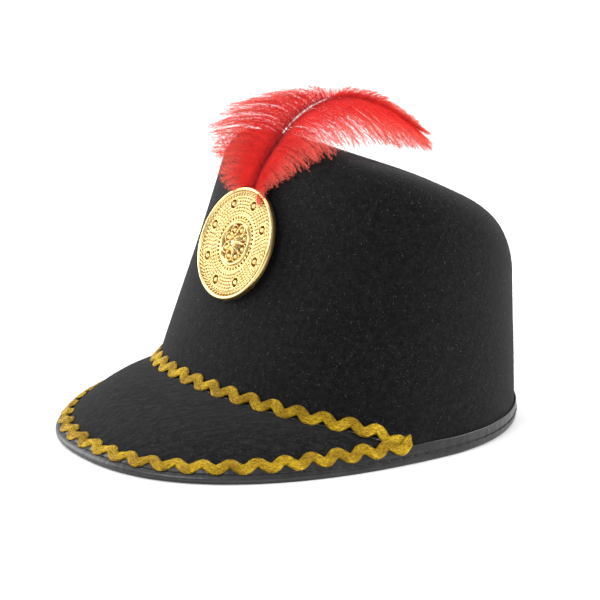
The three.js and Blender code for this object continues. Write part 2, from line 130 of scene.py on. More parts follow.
@dataclass
class Surface:
    """A mesh in the making: its points in millimetres, faces, UV map and attributes per point."""

    points: Array
    faces: list[Array]
    uv: Array | None = None
    facts: dict[str, Array] = field(default_factory=dict)

    def build(self, name: str, finish: Finish | bpy.types.Material, slot: Slot, *stands_for: str) -> None:
        """Args:
            name: The piece's name.
            finish: Its finish, or a material that it shares.
            slot: The record's slot that the finish belongs to; it is not used.
            stands_for: The CAD nodes that the piece replaces.
        """
        mesh = bpy.data.meshes.new(name)
        corners = np.concatenate([f.ravel() for f in self.faces]).astype(np.int32)
        totals = np.concatenate([np.full(len(f), f.shape[1]) for f in self.faces]).astype(np.int32)
        mesh.vertices.add(len(self.points))
        mesh.vertices.foreach_set("co", (self.points * MM).astype(np.float32).ravel())
        mesh.loops.add(len(corners))
        mesh.loops.foreach_set("vertex_index", corners)
        mesh.polygons.add(len(totals))
        mesh.polygons.foreach_set("loop_start", (np.cumsum(totals) - totals).astype(np.int32))
        mesh.polygons.foreach_set("use_smooth", np.ones(len(totals), bool))
        if self.uv is not None:
            layer = mesh.uv_layers.new(name="UVMap")
            layer.uv.foreach_set("vector", self.uv[corners].astype(np.float32).ravel())
        for key, values in self.facts.items():
            attribute = mesh.attributes.new(key, "FLOAT", "POINT")
            attribute.data.foreach_set("value", values.astype(np.float32).ravel())
        mesh.update(calc_edges=True)
        mesh.materials.append(finish.material() if isinstance(finish, Finish) else finish)
        piece = bpy.data.objects.new(name, mesh)
        bpy.context.scene.collection.objects.link(piece)
        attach(piece, BODY)
        if stands_for:
            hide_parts(*stands_for)
        LOG.info("%s: %d points, %d triangles", name, len(self.points), int((totals - 2).sum()))


def joined(parts: list[Surface]) -> Surface:
    """Several surfaces as one, their faces renumbered, with the facts that all of them have."""
    starts = np.cumsum([0] + [len(p.points) for p in parts])
    keys = set.intersection(*(set(p.facts) for p in parts))
    return Surface(
        np.concatenate([p.points for p in parts]),
        [f + start for p, start in zip(parts, starts) for f in p.faces],
        None if any(p.uv is None for p in parts) else np.concatenate([p.uv for p in parts]),
        {key: np.concatenate([p.facts[key] for p in parts]) for key in sorted(keys)},
    )


def grid_faces(rows: int, columns: int, close_rows: bool = False, close_columns: bool = False) -> Array:
    """Quads of a grid of rows x columns points.

    Args:
        rows: Rings of the grid.
        columns: Points of a ring.
        close_rows: Joins the last ring to the first.
        close_columns: Joins the last point of a ring to its first.

    Returns:
        Indices shaped (quads, 4), facing along (next column) x (next row).
    """
    r = np.arange(rows if close_rows else rows - 1)[:, None]
    c = np.arange(columns if close_columns else columns - 1)[None, :]
    r2, c2 = (r + 1) % rows, (c + 1) % columns
    corners = (r * columns + c, r * columns + c2, r2 * columns + c2, r2 * columns + c)
    return np.stack(np.broadcast_arrays(*corners), -1).reshape(-1, 4)


def tubes(paths: Array, radii: Array, reference: Array, sides: int) -> Surface:
    """Closed round tubes along many paths at once.

    A ring's point is centre + radius * (side * cos + over * sin), where side is the path's
    direction crossed with the reference vector, and over is the direction crossed with side.

    Args:
        paths: Centre lines, shaped (tubes, stations, 3).
        radii: Radii that broadcast to (tubes, stations).
        reference: Vectors that broadcast to the paths and are never along them.
        sides: Points of a ring.

    Returns:
        The surface, with UV (part of the way round, distance along in millimetres) and the
        fact "along", 0 at a tube's start and 1 at its end.
    """
    count, stations, _ = paths.shape
    direction = unit(np.gradient(paths, axis=1))
    side = unit(np.cross(direction, np.broadcast_to(reference, paths.shape)))
    over = np.cross(direction, side)
    turn = 2 * np.pi * np.arange(sides) / sides
    radius = np.broadcast_to(radii, (count, stations))[..., None, None]
    ring = side[:, :, None] * np.cos(turn)[:, None] + over[:, :, None] * np.sin(turn)[:, None]
    points = paths[:, :, None] + radius * ring
    quads = grid_faces(stations, sides, close_columns=True)
    starts = np.arange(count)[:, None, None] * (stations * sides)
    ends = np.arange(sides)[None, None, :]
    uv = np.stack(np.broadcast_arrays(turn / (2 * np.pi), walk(paths)[..., None]), -1)
    along = np.broadcast_to(np.linspace(0, 1, stations)[None, :, None], points.shape[:3])
    return Surface(
        points.reshape(-1, 3),
        [
            (quads[None] + starts).reshape(-1, 4),
            (starts + ends[..., ::-1]).reshape(-1, sides),
            (starts + (stations - 1) * sides + ends).reshape(-1, sides),
        ],
        uv.reshape(-1, 2),
        {"along": along.reshape(-1)},
    )


# ---- Shader nodes ----


class Nodes:
    """Places nodes in a tree and joins their sockets."""

    def __init__(self, tree: bpy.types.NodeTree) -> None:
        """Starts on a tree."""
        self.tree = tree

    def wire(self, node: bpy.types.Node, sockets: Sockets) -> None:
        """Links or sets a node's inputs, by name or index."""
        for key, value in sockets.items():
            if isinstance(value, bpy.types.NodeSocket):
                self.tree.links.new(value, node.inputs[key])
            else:
                node.inputs[key].default_value = value

    def add(self, kind: str, sockets: Sockets | None = None, **settings: object) -> bpy.types.Node:
        """Adds one node.

        Args:
            kind: Its type, without the leading ShaderNode.
            sockets: Values or other nodes' sockets for its inputs, by name or index.
            settings: Properties of the node.

        Returns:
            The node.
        """
        node = self.tree.nodes.new("ShaderNode" + kind)
        for key, value in settings.items():
            setattr(node, key, value)
        self.wire(node, sockets or {})
        return node

    def maths(self, operation: str, *values: Value) -> bpy.types.NodeSocket:
        """The result of one Math node."""
        return self.add("Math", dict(enumerate(values)), operation=operation).outputs[0]

    def blend(self, factor: Value, a: Value, b: Value) -> bpy.types.NodeSocket:
        """A colour a factor of the way from a to b."""
        return self.add("Mix", {0: factor, 6: a, 7: b}, data_type="RGBA").outputs[2]

    def product(self, a: Value, b: Value) -> bpy.types.NodeSocket:
        """Two values multiplied."""
        return self.maths("MULTIPLY", a, b)

    def total(self, a: Value, b: Value) -> bpy.types.NodeSocket:
        """Two values added."""
        return self.maths("ADD", a, b)

    def ramp(
        self, value: Value, low: float, high: float, bottom: float = 0.0, top: float = 1.0
    ) -> bpy.types.NodeSocket:
        """A smooth step from bottom to top as the value goes from low to high."""
        limits = {0: value, 1: low, 2: high, 3: bottom, 4: top}
        return self.add("MapRange", limits, interpolation_type="SMOOTHSTEP").outputs[0]

    def noise(
        self, where: bpy.types.NodeSocket, scale: Value, detail: float = 2.0, rough: float = 0.5
    ) -> bpy.types.NodeSocket:
        """Smooth noise between 0 and 1."""
        sockets = {"Vector": where, "Scale": scale, "Detail": detail, "Roughness": rough}
        return self.add("TexNoise", sockets).outputs["Fac"]

    def stretched(
        self, where: bpy.types.NodeSocket, scale: tuple[float, float, float], turn: float = 0.0
    ) -> bpy.types.NodeSocket:
        """Coordinates turned about Z and then stretched."""
        turned = self.add("Mapping", {"Vector": where, "Rotation": (0.0, 0.0, turn)}).outputs[0]
        return self.add("Mapping", {"Vector": turned, "Scale": scale}).outputs[0]

    def place(self) -> bpy.types.NodeSocket:
        """Object coordinates, in metres."""
        return self.add("TexCoord").outputs["Object"]

    def uv(self) -> bpy.types.NodeSocket:
        """The piece's own UV map."""
        return self.add("TexCoord").outputs["UV"]

    def fact(self, name: str) -> bpy.types.NodeSocket:
        """A piece's attribute."""
        return self.add("Attribute", attribute_name=name).outputs["Fac"]

    def mottle(self, where: bpy.types.NodeSocket, scale: float, dark: Value, light: Value) -> bpy.types.Node:
        """The shared cloudy variation, with its outputs Color and Mask."""
        sockets = {"Vector": where, "Scale": scale, "Dark": dark, "Light": light}
        return self.add("Group", sockets, node_tree=MOTTLE)

    def grain(self, where: bpy.types.NodeSocket, scale: float, softness: float) -> bpy.types.NodeSocket:
        """The height of the shared fine grain."""
        sockets = {"Vector": where, "Scale": scale, "Softness": softness}
        return self.add("Group", sockets, node_tree=GRAIN).outputs["Height"]

    def relief(self, height: Value, strength: float, distance: float) -> bpy.types.NodeSocket:
        """A normal from a height; the distance is in metres."""
        sockets = {"Height": height, "Strength": strength, "Distance": distance}
        return self.add("Bump", sockets).outputs["Normal"]


def make_group(
    name: str, inputs: dict[str, str], outputs: dict[str, str]
) -> tuple[Nodes, bpy.types.Node, bpy.types.Node]:
    """Starts a shader node group.

    Args:
        name: The group's name.
        inputs: Input names with their socket types, without the leading NodeSocket.
        outputs: Output names with theirs.

    Returns:
        The group's nodes, its input node and its output node.
    """
    tree = bpy.data.node_groups.new(name, "ShaderNodeTree")
    for way, sockets in (("INPUT", inputs), ("OUTPUT", outputs)):
        for key, kind in sockets.items():
            tree.interface.new_socket(key, in_out=way, socket_type="NodeSocket" + kind)
    nodes = Nodes(tree)
    return nodes, tree.nodes.new("NodeGroupInput"), tree.nodes.new("NodeGroupOutput")


def mottle_group() -> bpy.types.NodeTree:
    """Cloudy variation: a colour between two, by noise of a stated size, and the noise itself."""
    inputs = {"Vector": "Vector", "Scale": "Float", "Dark": "Color", "Light": "Color"}
    nodes, given, made = make_group("mottle", inputs, {"Color": "Color", "Mask": "Float"})
    mask = nodes.ramp(nodes.noise(given.outputs["Vector"], given.outputs["Scale"], 3.0, 0.6), 0.33, 0.67)
    cloudy = nodes.blend(mask, given.outputs["Dark"], given.outputs["Light"])
    nodes.wire(made, {"Color": cloudy, "Mask": mask})
    return nodes.tree


def grain_group() -> bpy.types.NodeTree:
    """Fine grain: a height from two sizes of noise."""
    inputs = {"Vector": "Vector", "Scale": "Float", "Softness": "Float"}
    nodes, given, made = make_group("grain", inputs, {"Height": "Float"})
    fine = nodes.noise(given.outputs["Vector"], given.outputs["Scale"], 2.0, 0.65)
    broad = nodes.noise(given.outputs["Vector"], nodes.product(given.outputs["Scale"], 0.22), 1.0)
    height = nodes.add("Mix", {0: given.outputs["Softness"], 2: fine, 3: broad}).outputs[0]
    nodes.wire(made, {"Height": height})
    return nodes.tree


MOTTLE = mottle_group()
GRAIN = grain_group()


def colour(red: float, green: float, blue: float) -> tuple[float, float, float, float]:
    """An opaque colour."""
    return (red, green, blue, 1.0)


class Finish:
    """What every finish shares: a material with one Principled shader, which paint() completes."""

    name = "finish"

    def material(self) -> bpy.types.Material:
        """Makes the material, with its nodes joined."""
        made = bpy.data.materials.new(self.name)
        made.use_nodes = True
        nodes = Nodes(made.node_tree)
        self.paint(nodes, made.node_tree.nodes["Principled BSDF"])
        return made

    def paint(self, nodes: Nodes, shader: bpy.types.Node) -> None:
        """Sets the shader's sockets; each finish has its own."""
        raise NotImplementedError


@dataclass(frozen=True)
class FeltFinish(Finish):
    """Black short-pile felt: matt, speckled, and brushed along one slant on the peak, where the brushing is
    relief with a painted sheen.
    """

    name: str = "black_felt"
    dark: tuple[float, ...] = colour(0.0025, 0.0025, 0.0029)
    light: tuple[float, ...] = colour(0.0075, 0.0075, 0.0081)
    pale_specks: tuple[float, ...] = colour(0.05, 0.05, 0.052)
    pile_scale: float = 1500.0
    brush_turn: float = math.radians(32)

    def paint(self, nodes: Nodes, shader: bpy.types.Node) -> None:
        """Mottled black with sparse pale specks; pile relief, with long brushed strokes on the peak, which
        also lighten its colour as a painted sheen.
        """
        place = nodes.place()
        base = nodes.mottle(place, 420.0, self.dark, self.light)
        cloud = nodes.noise(place, 45.0, 2.0)
        fine = nodes.noise(place, 1900.0, 1.0)
        # Sparse pale specks in the colour, where the fine noise is high.
        pale_specks = nodes.ramp(nodes.total(fine, nodes.product(cloud, 0.12)), 0.78, 0.86)
        speckled = nodes.blend(pale_specks, base.outputs["Color"], self.pale_specks)
        pile = nodes.grain(place, self.pile_scale, 0.35)
        brushed = nodes.noise(nodes.stretched(place, (460.0, 150.0, 460.0), self.brush_turn), 1.0, 3.0, 0.6)
        peak = nodes.fact("peak")
        height = nodes.total(pile, nodes.product(brushed, peak))
        # Painted sheen: the brushed strokes lighten the peak's colour in streaks, as light on the nap would.
        painted_brush_sheen = nodes.product(nodes.ramp(brushed, 0.42, 0.68), nodes.product(peak, 0.3))
        toned = nodes.blend(painted_brush_sheen, speckled, colour(0.03, 0.03, 0.031))
        nodes.wire(shader, {
            "Base Color": toned,
            "Roughness": 0.95,
            "Specular IOR Level": 0.15,
            "Sheen Weight": 0.07,
            "Sheen Roughness": 0.45,
            "Sheen Tint": colour(0.85, 0.86, 0.9),
            "Normal": nodes.relief(height, 0.75, 0.0006),
        })


@dataclass(frozen=True)
class FibreFinish(Finish):
    """The felt's loose fibres: near black, with a few pale ones."""

    name: str = "felt_fibre"
    dark: tuple[float, ...] = colour(0.008, 0.008, 0.009)
    pale: tuple[float, ...] = colour(0.2, 0.2, 0.205)

    def paint(self, nodes: Nodes, shader: bpy.types.Node) -> None:
        """Each fibre's own tone between dark and pale, faintly uneven along its length."""
        uneven = nodes.noise(nodes.place(), 700.0)
        tone = nodes.product(nodes.fact("tone"), nodes.ramp(uneven, 0.2, 0.7, 0.6, 1.0))
        nodes.wire(shader, {
            "Base Color": nodes.blend(tone, self.dark, self.pale),
            "Roughness": 0.7,
            "Specular IOR Level": 0.3,
        })


@dataclass(frozen=True)
class TapeFinish(Finish):
    """Soft-gloss vinyl tape: dark grey, faintly grained, with lighter patches round its fold and along its
    top edge.
    """

    name: str = "binding_tape"
    dark: tuple[float, ...] = colour(0.008, 0.008, 0.009)
    light: tuple[float, ...] = colour(0.02, 0.0205, 0.022)
    hole: tuple[float, ...] = colour(0.004, 0.004, 0.004)

    def paint(self, nodes: Nodes, shader: bpy.types.Node) -> None:
        """Mottled grey with dark needle holes; grain and slack wrinkles across the tape."""
        place, uv = nodes.place(), nodes.uv()
        base = nodes.mottle(place, 130.0, self.dark, self.light)
        patch_noise = nodes.noise(nodes.stretched(uv, (0.5, 3.0, 1.0)), 1.0, 4.0, 0.7)
        # Lighter patches where the noise is high, kept by the edge fact to the lower tape, the fold and the
        # top edge.
        pale_patches = nodes.product(nodes.ramp(patch_noise, 0.55, 0.8), nodes.fact("edge"))
        toned = nodes.blend(pale_patches, base.outputs["Color"], colour(0.09, 0.09, 0.094))
        pierced = nodes.blend(nodes.fact("hole"), toned, self.hole)
        wrinkle = nodes.noise(nodes.stretched(uv, (0.45, 0.12, 1.0)), 1.0, 2.0)
        grain = nodes.grain(place, 2200.0, 0.3)
        height = nodes.total(nodes.product(wrinkle, 2.2), nodes.product(grain, 0.5))
        nodes.wire(shader, {
            "Base Color": pierced,
            "Roughness": nodes.ramp(patch_noise, 0.3, 0.75, 0.28, 0.42),
            "Specular IOR Level": 0.5,
            "Normal": nodes.relief(height, 0.45, 0.0003),
        })


@dataclass(frozen=True)
class ThreadFinish(Finish):
    """Black sewing thread with its twist."""

    name: str = "black_thread"
    dark: tuple[float, ...] = colour(0.004, 0.004, 0.0045)
    light: tuple[float, ...] = colour(0.03, 0.03, 0.032)

    def paint(self, nodes: Nodes, shader: bpy.types.Node) -> None:
        """Slanted plies, with painted shade between them and a painted highlight on top."""
        split = nodes.add("SeparateXYZ", {0: nodes.uv()})
        slant = nodes.total(nodes.product(split.outputs[0], 12.566), nodes.product(split.outputs[1], 9.0))
        ply = nodes.maths("MULTIPLY_ADD", nodes.maths("SINE", slant), 0.5, 0.5)
        nodes.wire(shader, {
            "Base Color": nodes.blend(ply, self.dark, self.light),
            "Roughness": 0.5,
            "Normal": nodes.relief(ply, 0.6, 0.0001),
        })


@dataclass(frozen=True)
class BraidFinish(Finish):
    """Gold lurex braid: bright threads along the wave, with brown-gold shade between them."""

    name: str = "gold_braid"
    bright: tuple[float, ...] = colour(1.0, 0.7, 0.025)
    deep: tuple[float, ...] = colour(0.17, 0.075, 0.002)

    def paint(self, nodes: Nodes, shader: bpy.types.Node) -> None:
        """Streaks along the thread, cloudy deep patches, glints, and the threads' slanted twist."""
        uv, place = nodes.uv(), nodes.place()
        split = nodes.add("SeparateXYZ", {0: uv})
        along, across = split.outputs[0], split.outputs[1]
        streak = nodes.noise(nodes.stretched(uv, (0.55, 2.6, 1.0)), 1.0, 2.0, 0.6)
        patch = nodes.mottle(place, 95.0, self.deep, self.bright)
        clouded = nodes.ramp(patch.outputs["Mask"], 0.0, 1.0, 0.5, 1.0)
        shade = nodes.product(nodes.ramp(streak, 0.38, 0.58, 0.12, 1.0), clouded)
        groove = nodes.fact("groove")
        lit = nodes.product(shade, nodes.maths("SUBTRACT", 1.0, nodes.product(groove, 0.95)))
        twist = nodes.maths("SINE", nodes.total(nodes.product(along, 13.0), nodes.product(across, 9.0)))
        glint = nodes.noise(nodes.stretched(uv, (2.4, 2.6, 1.0)), 1.0, 1.0)
        height = nodes.total(nodes.product(twist, 0.35), nodes.product(glint, 1.6))
        nodes.wire(shader, {
            "Base Color": nodes.blend(lit, self.deep, self.bright),
            "Metallic": nodes.ramp(glint, 0.35, 0.65, 0.55, 0.9),
            "Roughness": nodes.ramp(glint, 0.3, 0.7, 0.22, 0.45),
            "Normal": nodes.relief(height, 0.9, 0.00035),
        })


@dataclass(frozen=True)
class PlateFinish(Finish):
    """Pale gold plating on stamped metal, darkened in its recesses and, as painted shade, on the rim's side
    wall and round the flower's balls, and polished on its heights.
    """

    name: str = "gold_plate"
    bright: tuple[float, ...] = colour(0.9, 0.67, 0.3)
    dull: tuple[float, ...] = colour(0.82, 0.56, 0.21)
    deep: tuple[float, ...] = colour(0.13, 0.055, 0.008)

    def paint(self, nodes: Nodes, shader: bpy.types.Node) -> None:
        """Colour and gloss by the recess fact, which also carries painted shade, broken up by fine pitting.
        """
        place = nodes.place()
        recess = nodes.fact("recess")
        cloud = nodes.noise(place, 160.0, 3.0, 0.6)
        # The recess fact darkens the hollows and adds painted shade on the rim's side wall and in the
        # trenches round the balls.
        hollows_and_painted_shade = nodes.product(recess, nodes.ramp(cloud, 0.2, 0.7, 0.75, 1.0))
        tint = nodes.mottle(place, 220.0, self.dull, self.bright)
        pits = nodes.grain(place, 2600.0, 0.45)
        nodes.wire(shader, {
            "Base Color": nodes.blend(hollows_and_painted_shade, tint.outputs["Color"], self.deep),
            "Metallic": 1.0,
            "Roughness": nodes.ramp(hollows_and_painted_shade, 0.0, 1.0, 0.24, 0.5),
            "Normal": nodes.relief(pits, 0.2, 0.00015),
        })


@dataclass(frozen=True)
class QuillFinish(Finish):
    """A dyed quill: dark brown-red with fine lengthwise furrows."""

    name: str = "red_quill"
    dark: tuple[float, ...] = colour(0.1, 0.008, 0.012)
    light: tuple[float, ...] = colour(0.3, 0.025, 0.035)
    tip: tuple[float, ...] = colour(0.9, 0.06, 0.045)

    def paint(self, nodes: Nodes, shader: bpy.types.Node) -> None:
        """Streaks and furrows along the quill, which takes the barbs' colour beyond its middle."""
        uv = nodes.uv()
        furrow = nodes.noise(nodes.stretched(uv, (22.0, 0.25, 1.0)), 1.0, 2.0)
        streaked = nodes.blend(nodes.ramp(furrow, 0.3, 0.7), self.dark, self.light)
        beyond = nodes.ramp(nodes.fact("along"), 0.3, 0.5)
        nodes.wire(shader, {
            "Base Color": nodes.blend(beyond, streaked, self.tip),
            "Roughness": 0.9,
            "Specular IOR Level": 0.02,
            "Normal": nodes.relief(furrow, 0.2, 0.0001),
        })


@dataclass(frozen=True)
class BarbFinish(Finish):
    """Dyed ostrich barbs: deep red at the quill, paler and pinker at the tips."""

    name: str = "red_barbs"
    root: tuple[float, ...] = colour(0.6, 0.008, 0.016)
    body: tuple[float, ...] = colour(0.97, 0.05, 0.04)
    tip: tuple[float, ...] = colour(1.0, 0.24, 0.17)
    glow: float = 0.45

    def paint(self, nodes: Nodes, shader: bpy.types.Node) -> None:
        """Colour by the way along the barb and by each barb's own tone."""
        along, tone = nodes.fact("along"), nodes.fact("tone")
        uneven = nodes.noise(nodes.place(), 260.0, 2.0)
        inner = nodes.blend(nodes.ramp(along, 0.0, 0.25), self.root, self.body)
        outer = nodes.blend(nodes.ramp(along, 0.45, 1.0, 0.0, 0.75), inner, self.tip)
        shade = nodes.product(nodes.ramp(uneven, 0.3, 0.7, 0.0, 0.35), tone)
        dyed = nodes.blend(shade, outer, self.root)
        through = nodes.add("BsdfTranslucent", {"Color": dyed}).outputs[0]
        both = nodes.add("MixShader", {0: self.glow, 1: shader.outputs[0], 2: through}).outputs[0]
        nodes.tree.links.new(both, nodes.tree.nodes["Material Output"].inputs["Surface"])
        nodes.wire(shader, {
            "Base Color": dyed,
            "Roughness": 0.55,
            "Specular IOR Level": 0.35,
            "Sheen Weight": 0.1,
            "Sheen Roughness": 0.4,
            "Sheen Tint": colour(1.0, 0.4, 0.35),
        })


@dataclass(frozen=True)
class GlueFinish(Finish):
    """Dried clear glue: pale, glossy and partly see-through."""

    name: str = "clear_glue"

    def paint(self, nodes: Nodes, shader: bpy.types.Node) -> None:
        """A milky colour that clears in places."""
        cloud = nodes.noise(nodes.place(), 300.0, 2.0)
        nodes.wire(shader, {
            "Base Color": nodes.blend(cloud, colour(0.16, 0.17, 0.17), colour(0.5, 0.52, 0.5)),
            "Roughness": 0.18,
            "Alpha": nodes.ramp(cloud, 0.3, 0.65, 0.25, 0.8),
        })


@dataclass(frozen=True)
class FloorFinish(Finish):
    """The pale studio floor."""

    name: str = "studio_floor"

    def paint(self, nodes: Nodes, shader: bpy.types.Node) -> None:
        """A plain matt white with the faintest unevenness."""
        cloud = nodes.noise(nodes.place(), 3.0, 2.0)
        nodes.wire(shader, {
            "Base Color": nodes.blend(cloud, colour(0.9, 0.9, 0.9), colour(0.93, 0.93, 0.93)),
            "Roughness": 0.9,
            "Specular IOR Level": 0.1,
        })


# ---- The hat's form ----


@dataclass(frozen=True)
class Oval:
    """A level oval whose front and back halves have their own reach and roundness."""

    half_width: Array | float
    middle: Array | float
    back: Array | float
    front: Array | float
    round_back: float
    round_front: float

    def at(self, angle: Array, height: Array | float) -> Array:
        """Points of the oval: x is the half width times a signed power of the cosine, y alike."""
        behind = np.sin(angle) > 0
        power = 2 / np.where(behind, self.round_back, self.round_front)
        x = self.half_width * signed_power(np.cos(angle), power)
        y = self.middle + np.where(behind, self.back, self.front) * signed_power(np.sin(angle), power)
        return np.stack(np.broadcast_arrays(x, y, height), -1)


@dataclass(frozen=True)
class HatForm:
    """The middle layer of the felt: peak and skirt, leaning walls, rounded edge and sloping top."""

    rim_half_width: float = 96.0
    rim_back: float = 92.0
    rim_front: float = 141.0
    crown_front: float = 86.2
    front_lean: float = math.radians(22.4)
    side_lean: float = math.radians(6.4)
    back_lean: float = math.radians(2)
    top_height: float = 129.5
    top_slope: float = 0.4
    top_arch: float = 0.001
    rear_arch: float = 0.002
    rear_start: float = 30.0
    top_dome: float = 5.0
    front_edge_rounding: float = 14.0
    back_edge_rounding: float = 22.0
    felt: float = 2.0
    fold_height_front: float = 24.8
    fold_height_back: float = 12.0
    fold_rise: float = 0.75
    peak_bulge: float = 6.2
    tape_fold: float = 2.1
    foot: float = math.radians(25)

    @property
    def widest_y(self) -> float:
        """Where the rim is widest."""
        return (self.rim_front - self.rim_back) / 2

    @property
    def rim(self) -> Oval:
        """The outline of the bound rim."""
        return Oval(self.rim_half_width, self.widest_y, self.rim_back, self.rim_front, 2.1, 2.3)

    @property
    def wall_out(self) -> Array:
        """The way out from the wall, at the middle of the front."""
        return np.array([0.0, -math.cos(self.front_lean), math.sin(self.front_lean)])

    def edge_centre(self, angle: Array) -> Array:
        """The centre of the tape's fold: the rim's outline moved in by the fold's radius."""
        rim = self.rim
        p = rim.at(angle, self.tape_fold * math.cos(self.foot))
        behind = np.sin(angle) > 0
        n = np.where(behind, rim.round_back, rim.round_front) - 1
        reach = np.where(behind, rim.back, rim.front)
        x = signed_power(p[..., 0] / rim.half_width, n) / rim.half_width
        y = signed_power((p[..., 1] - rim.middle) / reach, n) / reach
        return p - self.tape_fold * unit(np.stack([x, y, 0 * x], -1))

    def wall(self, angle: Array, height: Array) -> Array:
        """Points of the wall: ovals that shrink with height by each side's lean."""
        back = self.rim_back - self.tape_fold - height * math.tan(self.back_lean)
        front = self.crown_front - height * math.tan(self.front_lean)
        half_width = self.rim_half_width - self.tape_fold - height * math.tan(self.side_lean)
        reach = (back + front) / 2
        middle = self.widest_y + (back - front) / 2
        return Oval(half_width, middle, reach, reach, 2.1, 2.13).at(angle, height)

    def front_wall(self, height: float) -> Array:
        """The wall's point at the middle of the front, at a height."""
        return self.wall(np.array(FRONT), np.array(height))

    def top_z(self, y: Array) -> Array:
        """The top's height: it falls towards the back, more and more steeply."""
        behind = y - self.widest_y
        rear = np.maximum(behind - self.rear_start, 0)
        fall = self.top_slope * behind + self.top_arch * behind**2 + self.rear_arch * rear**2
        return self.top_height - fall

    def corner(self, angle: Array) -> Array:
        """The sharp corner that wall and top would make, closed in on by halving the error."""
        height = np.full(np.shape(angle), self.top_height)
        for _ in range(40):
            height = (height + self.top_z(self.wall(angle, height)[..., 1])) / 2
        return self.wall(angle, height)

    def top(self, corner: Array, part: Array, middle: Array) -> Array:
        """Points of the top, parts of the way from its middle to corner points, with a dome."""
        p = middle + (corner[:, None, :] - middle) * part[..., None]
        z = self.top_z(p[..., 1]) + self.top_dome * (1 - part**2)
        return np.concatenate([p[..., :2], z[..., None]], -1)

    def fold_height(self, angle: Array) -> Array:
        """The height of the fold: low behind, and rising round to the front."""
        forward = np.maximum(-np.sin(angle), 0)
        rise = self.fold_height_front * forward**self.fold_rise
        highest = np.cbrt(self.fold_height_front**3 + self.fold_height_back**3)
        return np.cbrt(rise**3 + self.fold_height_back**3) - (highest - self.fold_height_front) * forward

    def sheet(self, angle: Array, part: Array) -> Array:
        """Points of the peak and skirt, parts of the way from the tape's fold to the felt's fold."""
        start = self.edge_centre(angle)[:, None, :]
        end = self.wall(angle, self.fold_height(angle))[:, None, :]
        bulge = 4 * self.peak_bulge * np.maximum(-np.sin(angle), 0)[:, None]
        p = start + (end - start) * part[..., None]
        p[..., 2] += bulge * part * (1 - part)
        return p

    def up_sheet(self, angle: Array, distance: Array, steps: int = 32) -> Array:
        """Points at distances up the sheet from the tape's fold, going on up the wall past its end."""
        parts = np.broadcast_to(np.linspace(0, 1, steps + 1), (len(angle), steps + 1))
        line = self.sheet(angle, parts)
        walked = walk(line)
        step = np.clip((walked < distance[:, None]).sum(1) - 1, 0, steps - 1)
        row = np.arange(len(angle))
        t = (distance - walked[row, step]) / (walked[row, step + 1] - walked[row, step])
        on_sheet = mix(line[row, step], line[row, step + 1], np.minimum(t, 1)[:, None])
        up_wall = unit(self.wall(angle, on_sheet[:, 2] + 1) - on_sheet)
        return on_sheet + up_wall * np.maximum(distance - walked[:, -1], 0)[:, None]

    def squareness(self, angle: Array) -> Array:
        """The sine of the angle between a column of the sheet and the rim: 1 where they are square."""
        step = 0.004
        ahead = self.edge_centre(angle + step) - self.edge_centre(angle - step)
        column = self.sheet(angle, np.full((len(angle), 1), 0.3))[:, 0] - self.edge_centre(angle)
        along = (unit(column) * unit(ahead)).sum(-1)
        return np.sqrt(1 - along**2)

    def sheet_length(self, angle: Array) -> Array:
        """How long the sheet is from the tape's fold to the felt's fold."""
        line = self.sheet(angle, np.broadcast_to(np.linspace(0, 1, 33), (len(angle), 33)))
        return walk(line)[:, -1]


# ---- The felt ----


